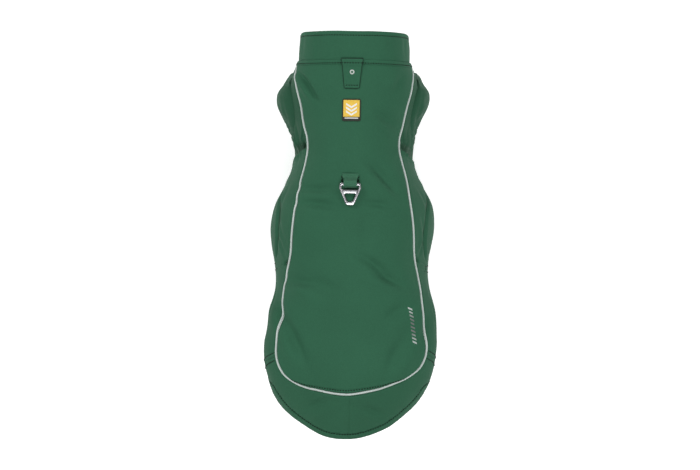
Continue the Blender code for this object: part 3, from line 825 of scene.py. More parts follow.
def sidePanel(side, name, seed):
    down, along = patch(bunched(62, 2.0), bunched(122, 2.0))
    front, rear = sideFront(down) + seamGap, sideRear(side, down) - seamGap
    station = front + along * (rear - front)
    angle = side * downFromPiping(side, station, down, sideLower(station) - 0.05)
    fallen = valley(station) * bell((1 - down) * sideSize[0], foldsBeside["valley"][1])
    extra = sideLip(down, along) - fallen + gash(rear - station, down)
    return panel(name, station, angle, ("piping", "seam", "seam", "soft"), seed=seed, extra=extra)


def flankPanel(side, name, seed):
    down, along = patch(bunched(74, 2.0), bunched(112, 2.0))
    front, rear = sideRear(side, down) + seamGap, flankSeam(side, down) - seamGap
    station = front + along * (rear - front)
    hem = np.where(station < flankHem[0][0], sideLower(station), smoothTable(flankHem, 1, station))
    hem = np.where(station > hip, rumpHem(turnOf(station)), hem)
    angle = side * downFromPiping(side, station, down, hem)
    kinds = ("piping", "hem", "soft", "seam_stitched")
    return panel(name, station, angle, kinds, seed=seed, extra=gash(station - front, down), share=0.4)


hemRun = {}  # how far above the tail's hem its stitches run, for each column


def hemLine(station, side):
    # how far from the hem its stitches run: at the flanks a set distance, and round the tail as far as shows a set
    # distance inside the outline from above
    e = edgeFinish
    turn = turnOf(station)
    step = np.arange(200)[:, None]
    points = bareForm(station[None], side * (rumpHem(turn) - 45 * step / 199))
    reach = np.hypot(points[..., 0] - asideAt(station), np.maximum(originStation - points[..., 1] - hip, 0))
    inside = (reach < reach.max(axis=0) - e["insideOutline"]) & (step > np.argmax(reach, axis=0))
    _, length = gridLengths(points)
    found = length[np.argmax(inside, axis=0), np.arange(len(turn))]
    share = ease((turn - 22) / 14)
    return e["stitchAt"] * (1 - share) + found * share


def tailPanel(side, name, seed):
    down, along = patch(bunched(74, 0.9), bunched(150, 1.4))
    front = flankSeam(side, down) + seamGap
    station = front + along * (hip + rumpRun - 0.01 - front)
    angle = side * downFromPiping(side, station, down, rumpHem(turnOf(station)))
    hemRun[name] = hemLine(station[-1], side)
    return panel(name, station, angle, ("piping", "hem", "seam_stitched", "soft"), seed=seed, at=hemRun[name])


def armholeEdge(station, way):
    # the angle of the armhole's upper edge (way -1) or lower edge (way 1): an ellipse in stations and degrees
    share = np.clip((station - armhole["station"]) / armhole["halfStation"], -1, 1)
    return armhole["angle"] + way * (armhole["halfAngle"] * np.sqrt(1 - share**2) + 0.01)


def armholeStations(before, after):
    # the stations of a panel's rows or columns, closer together where they pass the armhole
    inside = armhole["station"] - armhole["halfStation"] * np.cos(np.linspace(0, math.pi, 84))
    front = before + bunched(inside[0] - before + 1e-6, 1.5, end=False) * (inside[0] - before)
    rear = inside[-1] + (1 - bunched(after - inside[-1], 0.8, end=False)[::-1]) * (after - inside[-1])
    return np.concatenate([front[:-1], inside, rear[1:]])


def shoulderPanel(side, name, seed):
    start, end = bandEnd + 0.1, sideFront(1.0) - seamGap
    lowest = armholeStations(start, end)
    share = bunched(64, 1.1)[:, None]
    rear = armhole["station"] + armhole["halfStation"]
    behind = np.maximum(lowest - rear, 0) / (end - rear)
    station = np.minimum(lowest, rear) + behind * (sideFront(share) - seamGap - rear)
    angle = side * downFromPiping(side, station, share, armholeEdge(lowest, -1))
    # the armpit's cloth sinks before the side panel's standing edge
    deep, width = foldsBeside["armpit"]
    sink = -deep * bell(behind - 0.66, width) * ease((1 - behind) / 0.2) * ease(share / 0.22)
    sink = sink * (1 - ease((share - 0.72) / 0.28)) * (behind > 0)
    # its cloth's darker colour is painted shade
    return panel(name, station, angle, ("piping", "soft", "none", "none"), "shell_side", sleeveShadedCloth, seed, sink)


sidePieces = (
    # its function and name, and its flat size and area in metres
    (sidePanel, "side", (0.070, 0.150), 0.0074),
    (flankPanel, "flank", (0.090, 0.118), 0.0082),
    (tailPanel, "tail", (0.080, 0.150), 0.0080),
    (shoulderPanel, "shoulder", (0.068, 0.127), 0.0055),
)
bothSides = ((1, "right"), (-1, "left"))
for side, word in bothSides:
    for number, (maker, part, flat, area) in enumerate(sidePieces):
        cut = maker(side, f"{part}_cloth_{word}", 40 + side + 3 * number)
        declareCloth(cut, f"{part}_panel_{word}")
print("sides made")


def underside(share, upper):
    # signed angles from one upper edge down through the middle and up to the other
    return np.where(share < 0, -1, 1) * (180 - (180 - upper) * np.abs(share))


def chestPanel():
    station = armholeStations(bandEnd + 0.1, chestRear - seamGap)[:, None]
    angle = underside((2 * bunched(260, 2.2) - 1)[None, :], armholeEdge(station, 1))
    station = np.broadcast_to(station, angle.shape)
    return panel("chest_cloth", station, angle, ("none", "seam", "seam", "seam"), seed=61)


def bellyPanel():
    share = (2 * bunched(330, 2.2) - 1)[None, :]
    share = np.sign(share) * np.abs(share) ** 0.95
    along = bunched(128, 2.0)[:, None]
    straight = chestRear + seamGap + along * (bellyEnd[0] - chestRear - seamGap)
    edge = sideLower(straight) + 0.05
    angle = underside(share, edge)
    below = np.abs(angle) - edge
    station = straight - along**3 * bellyEnd[1] * ease(below / (180 - edge))
    # beside the side panel's seam the belly's cloth falls in a hollow before it rounds out
    hollow = -valley(station) * bell(below * perDegree, foldsBeside["valley"][2])
    return panel("belly_cloth", station, angle, ("seam", "hem", "seam", "seam"), seed=67, extra=hollow)


declareCloth(chestPanel(), "chest_panel")
declareCloth(bellyPanel(), "belly_panel")
print("underside made")


def tubeFaces(rows, columns, closeRows=False, caps=False):
    # the faces of a grid whose columns run all the way round; closeRows joins its last row to its first
    number = np.arange(rows * columns).reshape(rows, columns)
    if caps:  # each end is filled with strips of four-sided faces
        i = np.arange(columns // 2 - 1)
        strip = (i, columns - 1 - i, columns - 2 - i, i + 1)
        ends = [np.stack([end[each] for each in strip], axis=-1) for end in number[[0, -1]]]
    number = np.column_stack([number, number[:, 0]])
    if closeRows:
        number = np.vstack([number, number[:1]])
    return np.concatenate([quads(number), ends[0], ends[1][:, ::-1]]) if caps else quads(number)


def turnedOut(faces, points):
    # the faces of a closed piece, all turned outwards: the volume that they hold is more than nothing
    a, b, c, d = (points[faces[:, k]] for k in range(4))
    return faces if np.sum(a * (np.cross(b, c) + np.cross(c, d))) >= 0 else faces[:, ::-1]


def loftPiece(name, grid, materials, slot, **ends):
    # a piece from a grid of points whose columns run all the way round
    points = grid.reshape(-1, 3)
    uv = np.stack(gridLengths(grid), axis=-1).reshape(-1, 2) * mm
    return addMesh(name, points, turnedOut(tubeFaces(*grid.shape[:2], **ends), points), uv, materials)


def gridNormal(points, middle):
    # the cross product of a grid's two directions, turned away from its middle line
    around = np.roll(points, -1, axis=1) - np.roll(points, 1, axis=1)
    out = unit(np.cross(np.gradient(points, axis=0), around))
    return out * np.sign(np.sum(out * (points - middle), axis=(1, 2), keepdims=True))


sleeveSize = {
    "cuffX": 65.0,
    "cuffStation": 55.0,
    "cuffZ": -256.0,
    "halfX": 26.0,
    "halfY": 33.0,
    "start": -0.7,
    "inset": -0.15,
    "puff": 25.0,
    "puffMore": 107.0,
    "puffAt": 10.0,
    "puffNarrow": 4.6,
    "forward": 40.0,
    "fall": 41.0,
    "cuffDown": 185.0,
    "perDegree": 0.62,
    "seamAt": 196.0,  # its own seam, on its inner side
    "seamShare": 0.6 / 0.62,  # it lies where the sleeve is narrower
}
sleeveLine = {
    # station, how much further out and how much further forward the upper part of each sleeve lies
    1: (
        (34, -2.4, 6), (39, -5.2, 5.6), (46, -6.6, 4.4), (51.5, -6.3, 3.3), (56, -4.1, 2.3),
        (60, -2.1, 1.5), (65, -1.6, 0.7), (75, -1.6, 0), (91, -2.0, 0), (110, -1.1, 0),
    ),
    -1: (
        (34, -3.0, 4), (38, -5.4, 4), (41, -6.6, 3.8), (44, -7.0, 3.4), (48, -7.0, 2.6), (52.7, -6.6, 2),
        (56, -5.7, 1.5), (59.6, -3.5, 1), (64, -1.7, 0.5), (68, -1.0, 0), (110, -0.4, 0),
    ),
}
sleeveCreases = (
    # degrees round from the top by the front, millimetres down, heading (0 round, 90 down), halfLength,
    # halfWidth, depth
    (350, 12, 2, 20, 3.6, 0.8),
    (338, 24, 78, 16, 4.0, 1.0),
    (14, 30, 96, 14, 4.5, 1.2),
    (44, 26, 100, 13, 3.6, 1.3),
    (320, 15, 24, 14, 3.6, 0.8),
    (300, 34, 40, 18, 5.0, 1.0),
    (286, 62, 16, 24, 5.5, 1.5),
    (258, 44, 8, 22, 4.6, 1.6),
    (232, 74, -10, 24, 5.5, 2.0),
    (205, 46, -24, 20, 5.0, 1.6),
    (150, 60, 14, 24, 6.0, 1.8),
    (110, 96, -12, 22, 6.0, 1.4),
    (62, 118, 22, 22, 6.0, 1.3),
    (330, 128, -18, 24, 6.0, 1.4),
    (214, 140, 10, 26, 7.0, 1.5),
    (120, 172, 6, 22, 6.0, 1.1),
    (300, 184, -8, 20, 6.0, 1.0),
)


def fullTurn(count):
    return np.linspace(0, 2 * math.pi, count + 1)[:-1]


def sleeve(side, name, seed):
    # a cubic blend from the armhole's ring, leaving it outwards, to the cuff's ellipse, arriving straight down
    s = sleeveSize
    around = fullTurn(140)[None, :]
    down = bunched(232, 2.1)[:, None, None]
    top, front = (1 + np.cos(around)) / 2, np.sin(around)
    station = armhole["station"] - (armhole["halfStation"] - s["inset"]) * front
    angle = side * (armhole["angle"] - (armhole["halfAngle"] - s["inset"] / 1.5) * np.cos(around))
    hole = clothFace(station, angle, s["start"])
    nearShoulder = (1 + np.cos(around - math.radians(s["puffAt"]))) / 2
    puff = s["puff"] + s["puffMore"] * nearShoulder ** s["puffNarrow"]
    leaves = formNormal(station, angle) * puff[..., None] + np.array([0, s["forward"], -s["fall"]]) * top[..., None]
    cuffX = side * (s["cuffX"] + s["halfX"] * np.cos(around))
    cuffY = originStation - s["cuffStation"] + s["halfY"] * front
    cuff = np.stack([cuffX, cuffY, np.full_like(around, s["cuffZ"])], axis=-1)
    arrives = np.array([0, 0, -s["cuffDown"]]) * (0.2 + 0.8 * top)[..., None]
    outer = cubic(down, hole, leaves, cuff, arrives)
    _, length = gridLengths(outer)
    high = ease((outer[..., 2] + 190) / 50) * ease(length / 14) * ease((np.abs(outer[..., 0]) - 64) / 14)
    place = originStation - outer[..., 1]
    outer[..., 0] += side * high * smoothTable(sleeveLine[side], 1, place)
    outer[..., 1] += high * smoothTable(sleeveLine[side], 2, place)
    out = gridNormal(outer, outer.mean(axis=1, keepdims=True))
    across, length = gridLengths(outer)
    turned = np.degrees(around) + 0 * length

    def roundFrom(degrees):
        # how far round from there, in millimetres
        return ((turned - degrees + 180) % 360 - 180) * s["perDegree"]

    lift = edgeLift("hem", length[-1:] - length, across, seed)
    for degrees, at, heading, *crease in sleeveCreases:
        if side < 0:  # the left sleeve's creases lie a little differently
            degrees, at, heading = degrees + 9 * math.sin(at), at * 1.06 + 3, heading * 0.85 + 5
        lift -= ease(length / 6) * trough(roundFrom(degrees), length - at, heading, *crease, ridge=0.5)
    beside = roundFrom(s["seamAt"]) * s["seamShare"]
    lift += (0.25 * bell(beside - 4, 2.5) - 0.6 * bell(beside, 0.9)) * ease((length - 4) / 6)
    outer = outer + out * lift[..., None]
    edgesOf[name] = (outer, out)
    # the sleeve's cloth: its darker colour is painted shade
    return shellPiece(name, outer, outer - out * wall, [sleeveShadedCloth, lining], ring=True)


for side, word in bothSides:
    cut = sleeve(side, f"sleeve_cloth_{word}", 80 + side)
    declareCloth(cut, f"sleeve_{word}")
print("sleeves made")


def aroundNeck(columns):
    angle = np.linspace(0, 360, columns + 1)[:-1]
    return np.where(angle > 180, angle - 360, angle)


bandValues = {"start": neckSeam - 0.6, "end": bandEnd + 0.4, "lift": 0.25, "swell": 0.7, "stitchAt": 37.9}


def neckBand():
    # a narrow turned edge: a half sine across its width, pressed in along its stitches
    b = bandValues
    share = np.linspace(0, 1, 20)[:, None]
    station = b["start"] + share * (b["end"] - b["start"])
    station, angle = np.broadcast_arrays(station, aroundNeck(300)[None, :])
    lift = b["lift"] + b["swell"] * np.sin(math.pi * share) ** 0.55 - 0.5 * bell(station - b["stitchAt"], 0.6)
    lift = lift - 0.6 * bell(share, 0.06) - 0.25 * bell(1 - share, 0.06)
    outer, out = clothFace(station, angle, lift), formNormal(station, angle)
    pucker = puckers(gridLengths(outer)[0], 91) * 0.12 * np.sin(math.pi * share)
    outer = outer + out * pucker[..., None]
    edgesOf["neck_band_cloth"] = (outer, out)
    inner = clothFace(station, angle, -wall)
    return shellPiece("neck_band_cloth", outer, inner, [shellCloth, lining], ring=True)


collarSize = {
    "height": 34.6,
    "tilt": 8.0,
    "wall": 2.4,
    "retreat": 3.6,  # how much lower it is at the sides and in front
    "puff": 0.4,
    "drawIn": 2.0,
    "dip": 0.7,
    "stitchAt": 5.2,  # from its top
    "perDegree": 1.15,
}
collarCreases = (
    # angle, height, heading (0 round, 90 up), halfLength, halfWidth, depth
    (-19, 20, 84, 14, 3.6, 0.55),
    (-38, 14, 96, 12, 4.0, 0.45),
    (12, 24, 100, 12, 5.0, 0.4),
    (35, 16, 80, 14, 4.0, 0.5),
    (62, 20, 92, 14, 4.5, 0.7),
    (-66, 18, 86, 14, 4.5, 0.7),
    (96, 14, 70, 14, 5.0, 0.9),
    (-100, 18, 108, 14, 5.0, 0.9),
    (140, 20, 96, 14, 5.0, 0.8),
    (-150, 16, 80, 14, 5.0, 0.8),
)


def collar():
    # a profile carried round the neck: up the outer face, over a rounded top and down the inner face
    c = collarSize
    angle = aroundNeck(320)[None, :]
    foot = clothFace(np.full_like(angle, neckSeam), angle)
    tilt = math.radians(c["tilt"])
    axis = np.array([0.0, math.cos(tilt), math.sin(tilt)])
    outwards = unit((foot - [0, 0, -65]) * [1, 0, 1])
    height = c["height"] - c["retreat"] * ease((np.abs(angle) - 62) / 45) - c["dip"] * bell(angle, 14)
    half = c["wall"] / 2
    up = bunched(36, 1.1)[:, None]
    rise = 0.3 + up * (height - half - 0.3)
    fromTop = height - rise
    puff = c["puff"] * np.sin(math.pi * up) - c["drawIn"] * up
    groove = 0.4 * bell(fromTop - c["stitchAt"], 0.6) + 0.35 * bell(rise, 1.2) - 0.22 * bell(fromTop - 2.4, 1.7)
    for a0, h0, *crease in collarCreases:
        groove = groove + trough((angle - a0) * c["perDegree"], rise - h0, *crease, ridge=0.5)
    pucker = puckers(angle * c["perDegree"] + 0 * rise, 93) * 0.13 * bell(fromTop - 4, 4)
    share = ease(up * 2)[..., None]
    through = unit(formNormal(np.full_like(angle, neckSeam), angle) * (1 - share) + outwards * share)
    plain = foot + rise[..., None] * axis + puff[..., None] * outwards
    outer = plain + (pucker - groove)[..., None] * through
    inner = plain - (c["wall"] - 0.25 * groove)[..., None] * through
    bend = np.linspace(0, math.pi, 13)[1:-1][:, None, None]
    arc = plain[-1:] + half * ((np.cos(bend) - 1) * through[-1:] + np.sin(bend) * axis)
    edgesOf["collar_cloth"] = (outer, through)
    grid = np.concatenate([outer, arc, inner[::-1]])
    return loftPiece("collar_cloth", grid, [shellCloth, lining], "shell", closeRows=True)


declareCloth(neckBand(), "neck_band")
declareCloth(collar(), "collar")
print("collar made")


pipingValues = {"radius": 1.32, "sink": 0.72, "step": 1.3, "sides": 14}


def reflectiveMaterial(name, dark, light, darkerAt=None):
    # beaded reflective cloth: fine bright specks on grey, crossed by faint lines of its weave
    made, tree, where, uv = newMaterial(name)
    beads = noise(tree, where, 2600, 1, 0.5)
    cloud = noise(tree, where, 60, 2, 0.5)
    lines = wave(tree, parts(tree, uv)[1], 0.9)
    share = times(tree, spread(tree, beads, 0.35, 0.65, 0, 1), 0.55, times(tree, lines, 0.1, 0.1))
    colour = mixed(tree, times(tree, cloud, 0.3, share), dark, light)
    if darkerAt is not None:  # the film's colour is darker around this place along the back
        off = maths(tree, "SUBTRACT", parts(tree, where)[1], (originStation - darkerAt) * mm)
        colour = toned(tree, colour, spread(tree, maths(tree, "ABSOLUTE", off), 0.007, 0.019, 0.3, 1.0))
    rough = spread(tree, beads, 0.3, 0.7, 0.3, 0.5)
    return finish(made, colour, rough, times(tree, lines, 0.3, beads), 0.3, 0.08, gloss=0.6)


pipingCloth = reflectiveMaterial("grey_reflective_piping", (0.30, 0.35, 0.33, 1), (0.62, 0.69, 0.66, 1))
transferFilm = reflectiveMaterial("grey_reflective_film", (0.30, 0.33, 0.31, 1), (0.66, 0.70, 0.67, 1))
darkerMiddleFilm = reflectiveMaterial("reflective_film_darker_middle", (0.26, 0.30, 0.28, 1), (0.55, 0.60, 0.58, 1), 346)


def tube(path, radius, sides):
    # circles of points square to a path; each starts from the side that points most upwards
    along = unit(np.gradient(path, axis=0))
    side = unit(np.cross(along, [0.0, 0.0, 1.0]))
    lifted = np.cross(side, along)
    turn = fullTurn(sides)[None, :, None]
    radius = np.broadcast_to(radius, path.shape[:1])[:, None, None]
    return path[:, None] + radius * (np.cos(turn) * lifted[:, None] + np.sin(turn) * side[:, None])


def hoop(path, radius, sides):
    # the same round a closed path
    path, radius = (np.concatenate([each[-3:], each, each[:3]]) for each in (path, radius))
    return tube(path, radius, sides)[3:-3]


def evenly(path, step, closed=False, extra=None):
    # the path's points again, a set distance apart, with any vectors carried along
    both = path if extra is None else np.hstack([path, extra])
    if closed:
        both = np.vstack([both, both[:1]])
    far = np.concatenate([[0], np.cumsum(np.linalg.norm(np.diff(both[:, :3], axis=0), axis=-1))])
    count = max(2, int(round(far[-1] / step)))
    at = np.linspace(0, far[-1], count + 1)[: count if closed else None]
    even = np.stack([np.interp(at, far, column) for column in both.T], axis=-1)
    return even if extra is None else (even[:, :3], unit(even[:, 3:]))


def piping():
    # one round cord from the neck down the right, round the tail and up the left, sunk between the cloth's edges
    v = pipingValues
    run = np.concatenate([np.linspace(bandEnd - 2.5, hip, 330), np.linspace(hip, hip + rumpRun, 284)[1:]])
    right, left = (clothFace(run, side * pipingAngle(run, side), -v["sink"]) for side in (1, -1))
    path = evenly(np.concatenate([right, left[-2::-1]]), v["step"])
    far = np.arange(len(path)) * v["step"]
    radius = v["radius"] * (1 + 0.012 * np.sin(far * 2 * math.pi / 2.6) + 0.02 * puckers(far, 7))
    return loftPiece("piping_cord", tube(path, radius, v["sides"]), [pipingCloth], "piping", caps=True)


cord = piping()
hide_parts("piping")
print("piping made")


def onBack(x, station, lift):
    # points on the upper side by x and the distance along the back
    return clothFace(*over(x, station), lift)


def backPatch(name, x, station, lift, under, materials):
    # a piece sewn on the upper side, between two heights over its cloth
    out = formNormal(*over(x, station))
    outer = onBack(x, station, lift)
    edgesOf[name] = (outer, out)
    return shellPiece(name, outer, onBack(x, station, under), materials)


def fromEdge(across, half, station, v):
    # how far a point lies from the nearest edge of such a piece
    return np.minimum(np.minimum((1 - np.abs(across)) * half, station - v["start"]), v["end"] - station)


tabValues = {
    "start": 32.8,
    "end": 67.6,
    "halfStart": 12.7,  # its half widths: on the collar, at the neck band, mark, end row of stitches and end
    "halfBand": 11.9,
    "halfMark": 11.0,
    "halfRow": 9.6,
    "halfEnd": 8.8,
    "thick": 1.35,
    "overSeam": 1.2,
    "arch": 0.5,
    # the radius of the dark tube of painted shadow round the tab's edges
    "shadowTube": 0.36,
    "stitchAt": 64.2,
}


def tabLift(station, across):
    # a loop's two layers: over the neck seam, arched between its two rows of stitches, turned down at its edges
    t = tabValues
    lift = t["thick"] + 0.12 + t["overSeam"] * (1 - ease((station - bandEnd + 0.8) / 5.5))
    lift = lift + t["arch"] * np.sin(math.pi * np.clip((station - 42) / 21, 0, 1)) * (1 - np.abs(across) ** 4)
    return lift - 0.5 * bell(station - t["stitchAt"], 0.6) - 0.4 * bell(station - bandValues["stitchAt"], 0.7)


def lightTab():
    t = tabValues
    down, across = patch(bunched(35, 0.9), 2 * bunched(21, 0.9) - 1)
    station = t["start"] + down * (t["end"] - t["start"])
    widths = [t["halfStart"], t["halfStart"], t["halfBand"], t["halfEnd"]]
    half = np.interp(station, [t["start"], 35.2, 37.5, t["end"]], widths)
    lift = tabLift(station, across)
    edge = fromEdge(across, half, station, t)
    rounded = 0.6 * bell(edge, 0.45) - 0.18 * bell(edge - 1.3, 0.9)
    corner = np.clip((station - t["end"] + 2.2) / 2.2, 0, 1) ** 3 * np.abs(across) ** 6 * 1.2
    x = leftOfSpine + across * (half - corner)
    under = np.minimum(lift - t["thick"], 1.9)
    return backPatch("light_tab_cloth", x, station, lift - rounded, under, [shellCloth, lining])


def tabShadowTube():
    # painted shadow: a thin dark tube all round the tab's outer face, for the shade along its edges
    grid = edgesOf["light_tab_cloth"][0]
    loop = np.concatenate([grid[0, :-1], grid[:-1, -1], grid[-1, :0:-1], grid[:0:-1, 0]])
    path = evenly(loop, 0.45, closed=True)
    shadowTube = hoop(path, np.full(len(path), tabValues["shadowTube"]), 10)
    return loftPiece("light_tab_painted_shadow", shadowTube, [threadWithPaintedShade], "shell", closeRows=True)


tab = lightTab()
declareCloth(tab, "light_tab", [tabShadowTube()])


def flatRing(name, x0, s0, inner, outer, height):
    # a low rounded band round a point on the tab: half an ellipse carried round a circle
    turn, bend = fullTurn(48)[:, None], fullTurn(14)[None, :]
    radius = (inner + outer) / 2 + (outer - inner) / 2 * np.cos(bend)
    x, station = x0 + radius * np.cos(turn), s0 + radius * np.sin(turn)
    lift = tabLift(station, (x - leftOfSpine) / tabValues["halfMark"]) + 0.02 + height * np.sin(bend)
    return loftPiece(name, onBack(x, station, lift), [transferFilm], "piping", closeRows=True)


flatRing("light_mark_ring", leftOfSpine + 0.1, 48.6, 1.35, 2.75, 0.22)

labelValues = {"start": 80.8, "end": 105.6, "halfWidth": 10.2, "thick": 0.8, "edge": 0.75}


def labelMaterial():
    # a woven badge: yellow with pale chevrons, and a dark foot with a pale line, all in fine raised threads
    made, tree, where, uv = newMaterial("woven_badge")
    across, down = (maths(tree, "DIVIDE", part, mm) for part in parts(tree, uv)[:2])
    across = maths(tree, "ABSOLUTE", across)
    slope = times(tree, across, 0.62, down)
    yellow = times(tree, noise(tree, where, 800), 0.7)
    colour = mixed(tree, yellow, (0.78, 0.50, 0.05, 1), (0.92, 0.62, 0.10, 1))
    inside = maths(tree, "LESS_THAN", across, 6.4)
    for middle in (9.2, 13.6, 18.0):
        chevron = times(tree, maths(tree, "COMPARE", slope, middle, 1.15), inside)
        colour = mixed(tree, chevron, colour, (0.86, 0.85, 0.82, 1))
    foot = maths(tree, "GREATER_THAN", down, 20.4)
    colour = mixed(tree, foot, colour, (0.018, 0.020, 0.018, 1))
    line = times(tree, maths(tree, "COMPARE", down, 22.0, 0.55), maths(tree, "LESS_THAN", across, 8.0))
    colour = mixed(tree, line, colour, (0.80, 0.80, 0.78, 1))
    threads = weave(tree, uv, 0.42)
    colour = toned(tree, colour, spread(tree, threads, -1, 1, 0.86, 1.06))
    return finish(made, colour, spread(tree, threads, -1, 1, 0.75, 0.6), threads, 0.5, 0.12)


def labelPatch():
    v = labelValues
    down, across = patch(bunched(25, 0.8), 2 * bunched(20, 0.8) - 1)
    x, station = leftOfSpine + across * v["halfWidth"], v["start"] + down * (v["end"] - v["start"])
    return backPatch("label_badge", x, station, v["thick"] - 0.25, -0.1, [labelMaterial(), lining])


def labelBorder():
    # overlocked edge: a tube round a rounded rectangle, ribbed by its threads
    v = labelValues
    turn = fullTurn(1600)
    across, down = (np.sign(way) * np.abs(way) ** 0.09 for way in (np.cos(turn), np.sin(turn)))
    half = (v["end"] - v["start"]) / 2
    x, station = leftOfSpine + v["halfWidth"] * across, v["start"] + half + half * down
    path = evenly(onBack(x, station, v["thick"] * 0.45), 0.22, closed=True)
    radius = v["edge"] * (1 + 0.07 * np.sin(np.arange(len(path)) * 0.22 * 2 * math.pi / 0.88))
    thread = threadMaterial("badge_edge_thread", (0.012, 0.016, 0.012, 1), (0.045, 0.050, 0.036, 1))
    return loftPiece("label_edge", hoop(path, radius, 10), [thread], "label", closeRows=True)


badge = labelPatch()
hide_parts("label")
labelBorder()
print("tab and label made")

barsValues = {
    "count": 10,
    "from": (70.4, 326.0),
    "to": (75.8, 365.5),
    "halfLength": 2.6,
    "halfWidth": 1.05,
    "slant": 34,
    "thick": 0.12,
}


def reflectiveBars():
    # a row of short slanting bars of reflective film along the right edge, each a thin patch of four-sided faces
    v = barsValues
    count = v["count"]
    run = np.array(v["to"]) - v["from"]
    way, tilt = unit(run), math.radians(v["slant"])
    long = np.array([way[1], -way[0]]) * math.cos(tilt) + way * math.sin(tilt)
    share = np.linspace(0, 1, count)[:, None, None]
    u, w = patch(np.linspace(-1, 1, 9), np.linspace(-1, 1, 5))
    length = v["halfLength"] * (1 - 0.16 * (np.arange(count) % 3 == 1))[:, None, None]
    across = [u * length * long[k] + w * v["halfWidth"] * way[k] for k in (0, 1)]
    x, station = (v["from"][k] + share * run[k] + across[k] for k in (0, 1))
    number = np.arange(u.size).reshape(u.shape)
    one = np.concatenate(gridFaces(number, number + u.size))
    faces = [onBack(x, station, lift).reshape(count, -1, 3) for lift in (v["thick"], -0.3)]
    points = np.concatenate(faces, axis=1)
    one = turnedOut(one, points[0] - points[0].mean(axis=0))
    flat = np.stack([x, station], axis=-1).reshape(count, -1, 2) * mm
    uv = np.concatenate([flat, flat], axis=1).reshape(-1, 2)
    faces = copies(one, count, 2 * u.size)
    return addMesh("reflective_bars", points.reshape(-1, 3), faces, uv, [darkerMiddleFilm])


reflectiveBars()

joint = next(iter(frame["record"]["behaviour"]["joints"]))
hinge = np.array(joint["pos_m"]) / mm
webbingSize = {
    "halfWidth": 9.3,
    "wall": 1.3,
    "loop": 3.4,
    "start": -12.5,
    "rib": 1.28,
    "ribHeight": 0.13,
    "gathered": 0.17,  # how much narrower it is round the ring's bar
}


def webbingMaterial():
    # ribbed webbing: painted shade darkening the valleys between ribs, fine threads along them
    made, tree, where, uv = newMaterial("ribbed_green_webbing")
    u, v, _ = parts(tree, uv)
    rib, thread = wave(tree, v, webbingSize["rib"]), wave(tree, u, 0.55)
    fleck = spread(tree, noise(tree, where, 900), 0.3, 0.7, 0.25, 0.65)
    # the rib's wave darkens the colour in each valley: painted shade
    share = times(tree, rib, 0.3, times(tree, thread, 0.12, fleck))
    colour = mixed(tree, share, (0.008, 0.066, 0.031, 1), (0.028, 0.180, 0.088, 1))
    rough = spread(tree, rib, -1, 1, 0.8, 0.62)
    return finish(made, colour, rough, times(tree, thread, 0.5, rib), 0.5, 0.12, sheen=0.15)


def webbing():
    # one strap, from under the lip round the ring's bar and back under itself: a ribbon swept across its width
    w = webbingSize
    turn = np.linspace(math.pi / 2, -math.pi / 2, 40)
    low = -w["loop"]
    upper = (  # number, y and z
        (0, w["start"], low + w["wall"] - 1.5),
        (1, -9.5, low + w["wall"] - 0.9),
        (2, -6.2, low + w["wall"] + 1.2),
        (3, -3.4, 2.2),
        (4, -1.6, w["loop"] - 0.25),
    )
    upper = np.stack([smoothTable(upper, k, np.linspace(0, 4, 30)) for k in (1, 2)], axis=-1)
    loop = w["loop"] * np.stack([np.cos(turn), np.sin(turn)], axis=-1)
    flat = np.concatenate([upper, loop, [(-4.0, low), (-8.0, low + 0.05), (w["start"], low - 0.4)]])
    path = evenly(np.column_stack([np.zeros(len(flat)), flat]), 0.32)
    side = np.cross([1, 0, 0], unit(np.gradient(path, axis=0)))
    ripple = np.sin(np.arange(len(path)) * 0.32 * 2 * math.pi / w["rib"])[:, None]
    u = np.sin(np.linspace(-math.pi / 2, math.pi / 2, 31))[None, :]
    rib = w["ribHeight"] * ripple * (1 - np.abs(u) ** 8)
    half = w["wall"] / 2 * (1 - 0.45 * np.abs(u) ** 12)
    gathered = 1 - w["gathered"] * ease((path[:, 1:2] + 9.0) / 2.5)
    across = u * w["halfWidth"] * gathered * (1 + 0.006 * ripple)

    def place(offset):
        # path coordinates: y runs to the tail from the hinge, z up
        local = path[:, None] + side[:, None] * offset[..., None]
        return hinge + np.stack([across + 0 * offset, -local[..., 1], local[..., 2]], axis=-1)

    return shellPiece("webbing_strap", place(half + rib), place(-half - rib), [webbingMaterial()] * 2)


strap = webbing()
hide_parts("leash_webbing")

lipValues = {"start": 169.6, "end": 173.6, "halfWidth": 10.6, "thick": 0.55}


def portalLip():
    # the stitched lip over the slot, a flat welt of shell cloth with a rounded free edge
    v = lipValues
    down, across = patch(bunched(16, 0.5), 2 * bunched(21, 0.7) - 1)
    x, station = leftOfSpine + across * v["halfWidth"], v["start"] + down * (v["end"] - v["start"])
    edge = fromEdge(across, v["halfWidth"], station, v)
    swell = 0.25 * ease((station - v["start"] - 1.4) / 2.2) * (1 - across**6)
    lift = v["thick"] * (1 - bell(edge, 0.5)) + swell + 0.05
    return backPatch("portal_lip", x, station, lift, -0.25, [shellCloth, shellCloth])


lip = portalLip()

ringSizes = {
    # the right halves of its outlines, x and y from the hinge, and how far their corners are rounded
    "outside": (((12.0, 1.7), (12.9, -5.0), (4.6, -24.8)), 3.6, 10),
    "slot": (((9.9, -1.7), (9.9, -6.4)), 0.9, 6),
    "eye": (((7.0, -11.0), (2.9, -20.8)), 2.0, 10),
    "halfThick": 1.5,
    "edge": 0.95,
    "tilt": 6.968,
}


def roundedOutline(corners, radius, steps):
    # each corner cut by a curve that starts and ends the radius's reach away along its sides
    corners = np.array(corners, float)
    outline = []
    for i, at in enumerate(corners):
        a, b = corners[i - 1] - at, corners[(i + 1) % len(corners)] - at
        a, b = a / np.linalg.norm(a), b / np.linalg.norm(b)
        reach = radius / math.tan(math.acos(np.clip(a @ b, -1, 1)) / 2)
        t = np.linspace(0, 1, steps)[:, None]
        outline.append(at + a * reach * (1 - t) ** 2 + b * reach * t**2)
    return np.concatenate(outline)


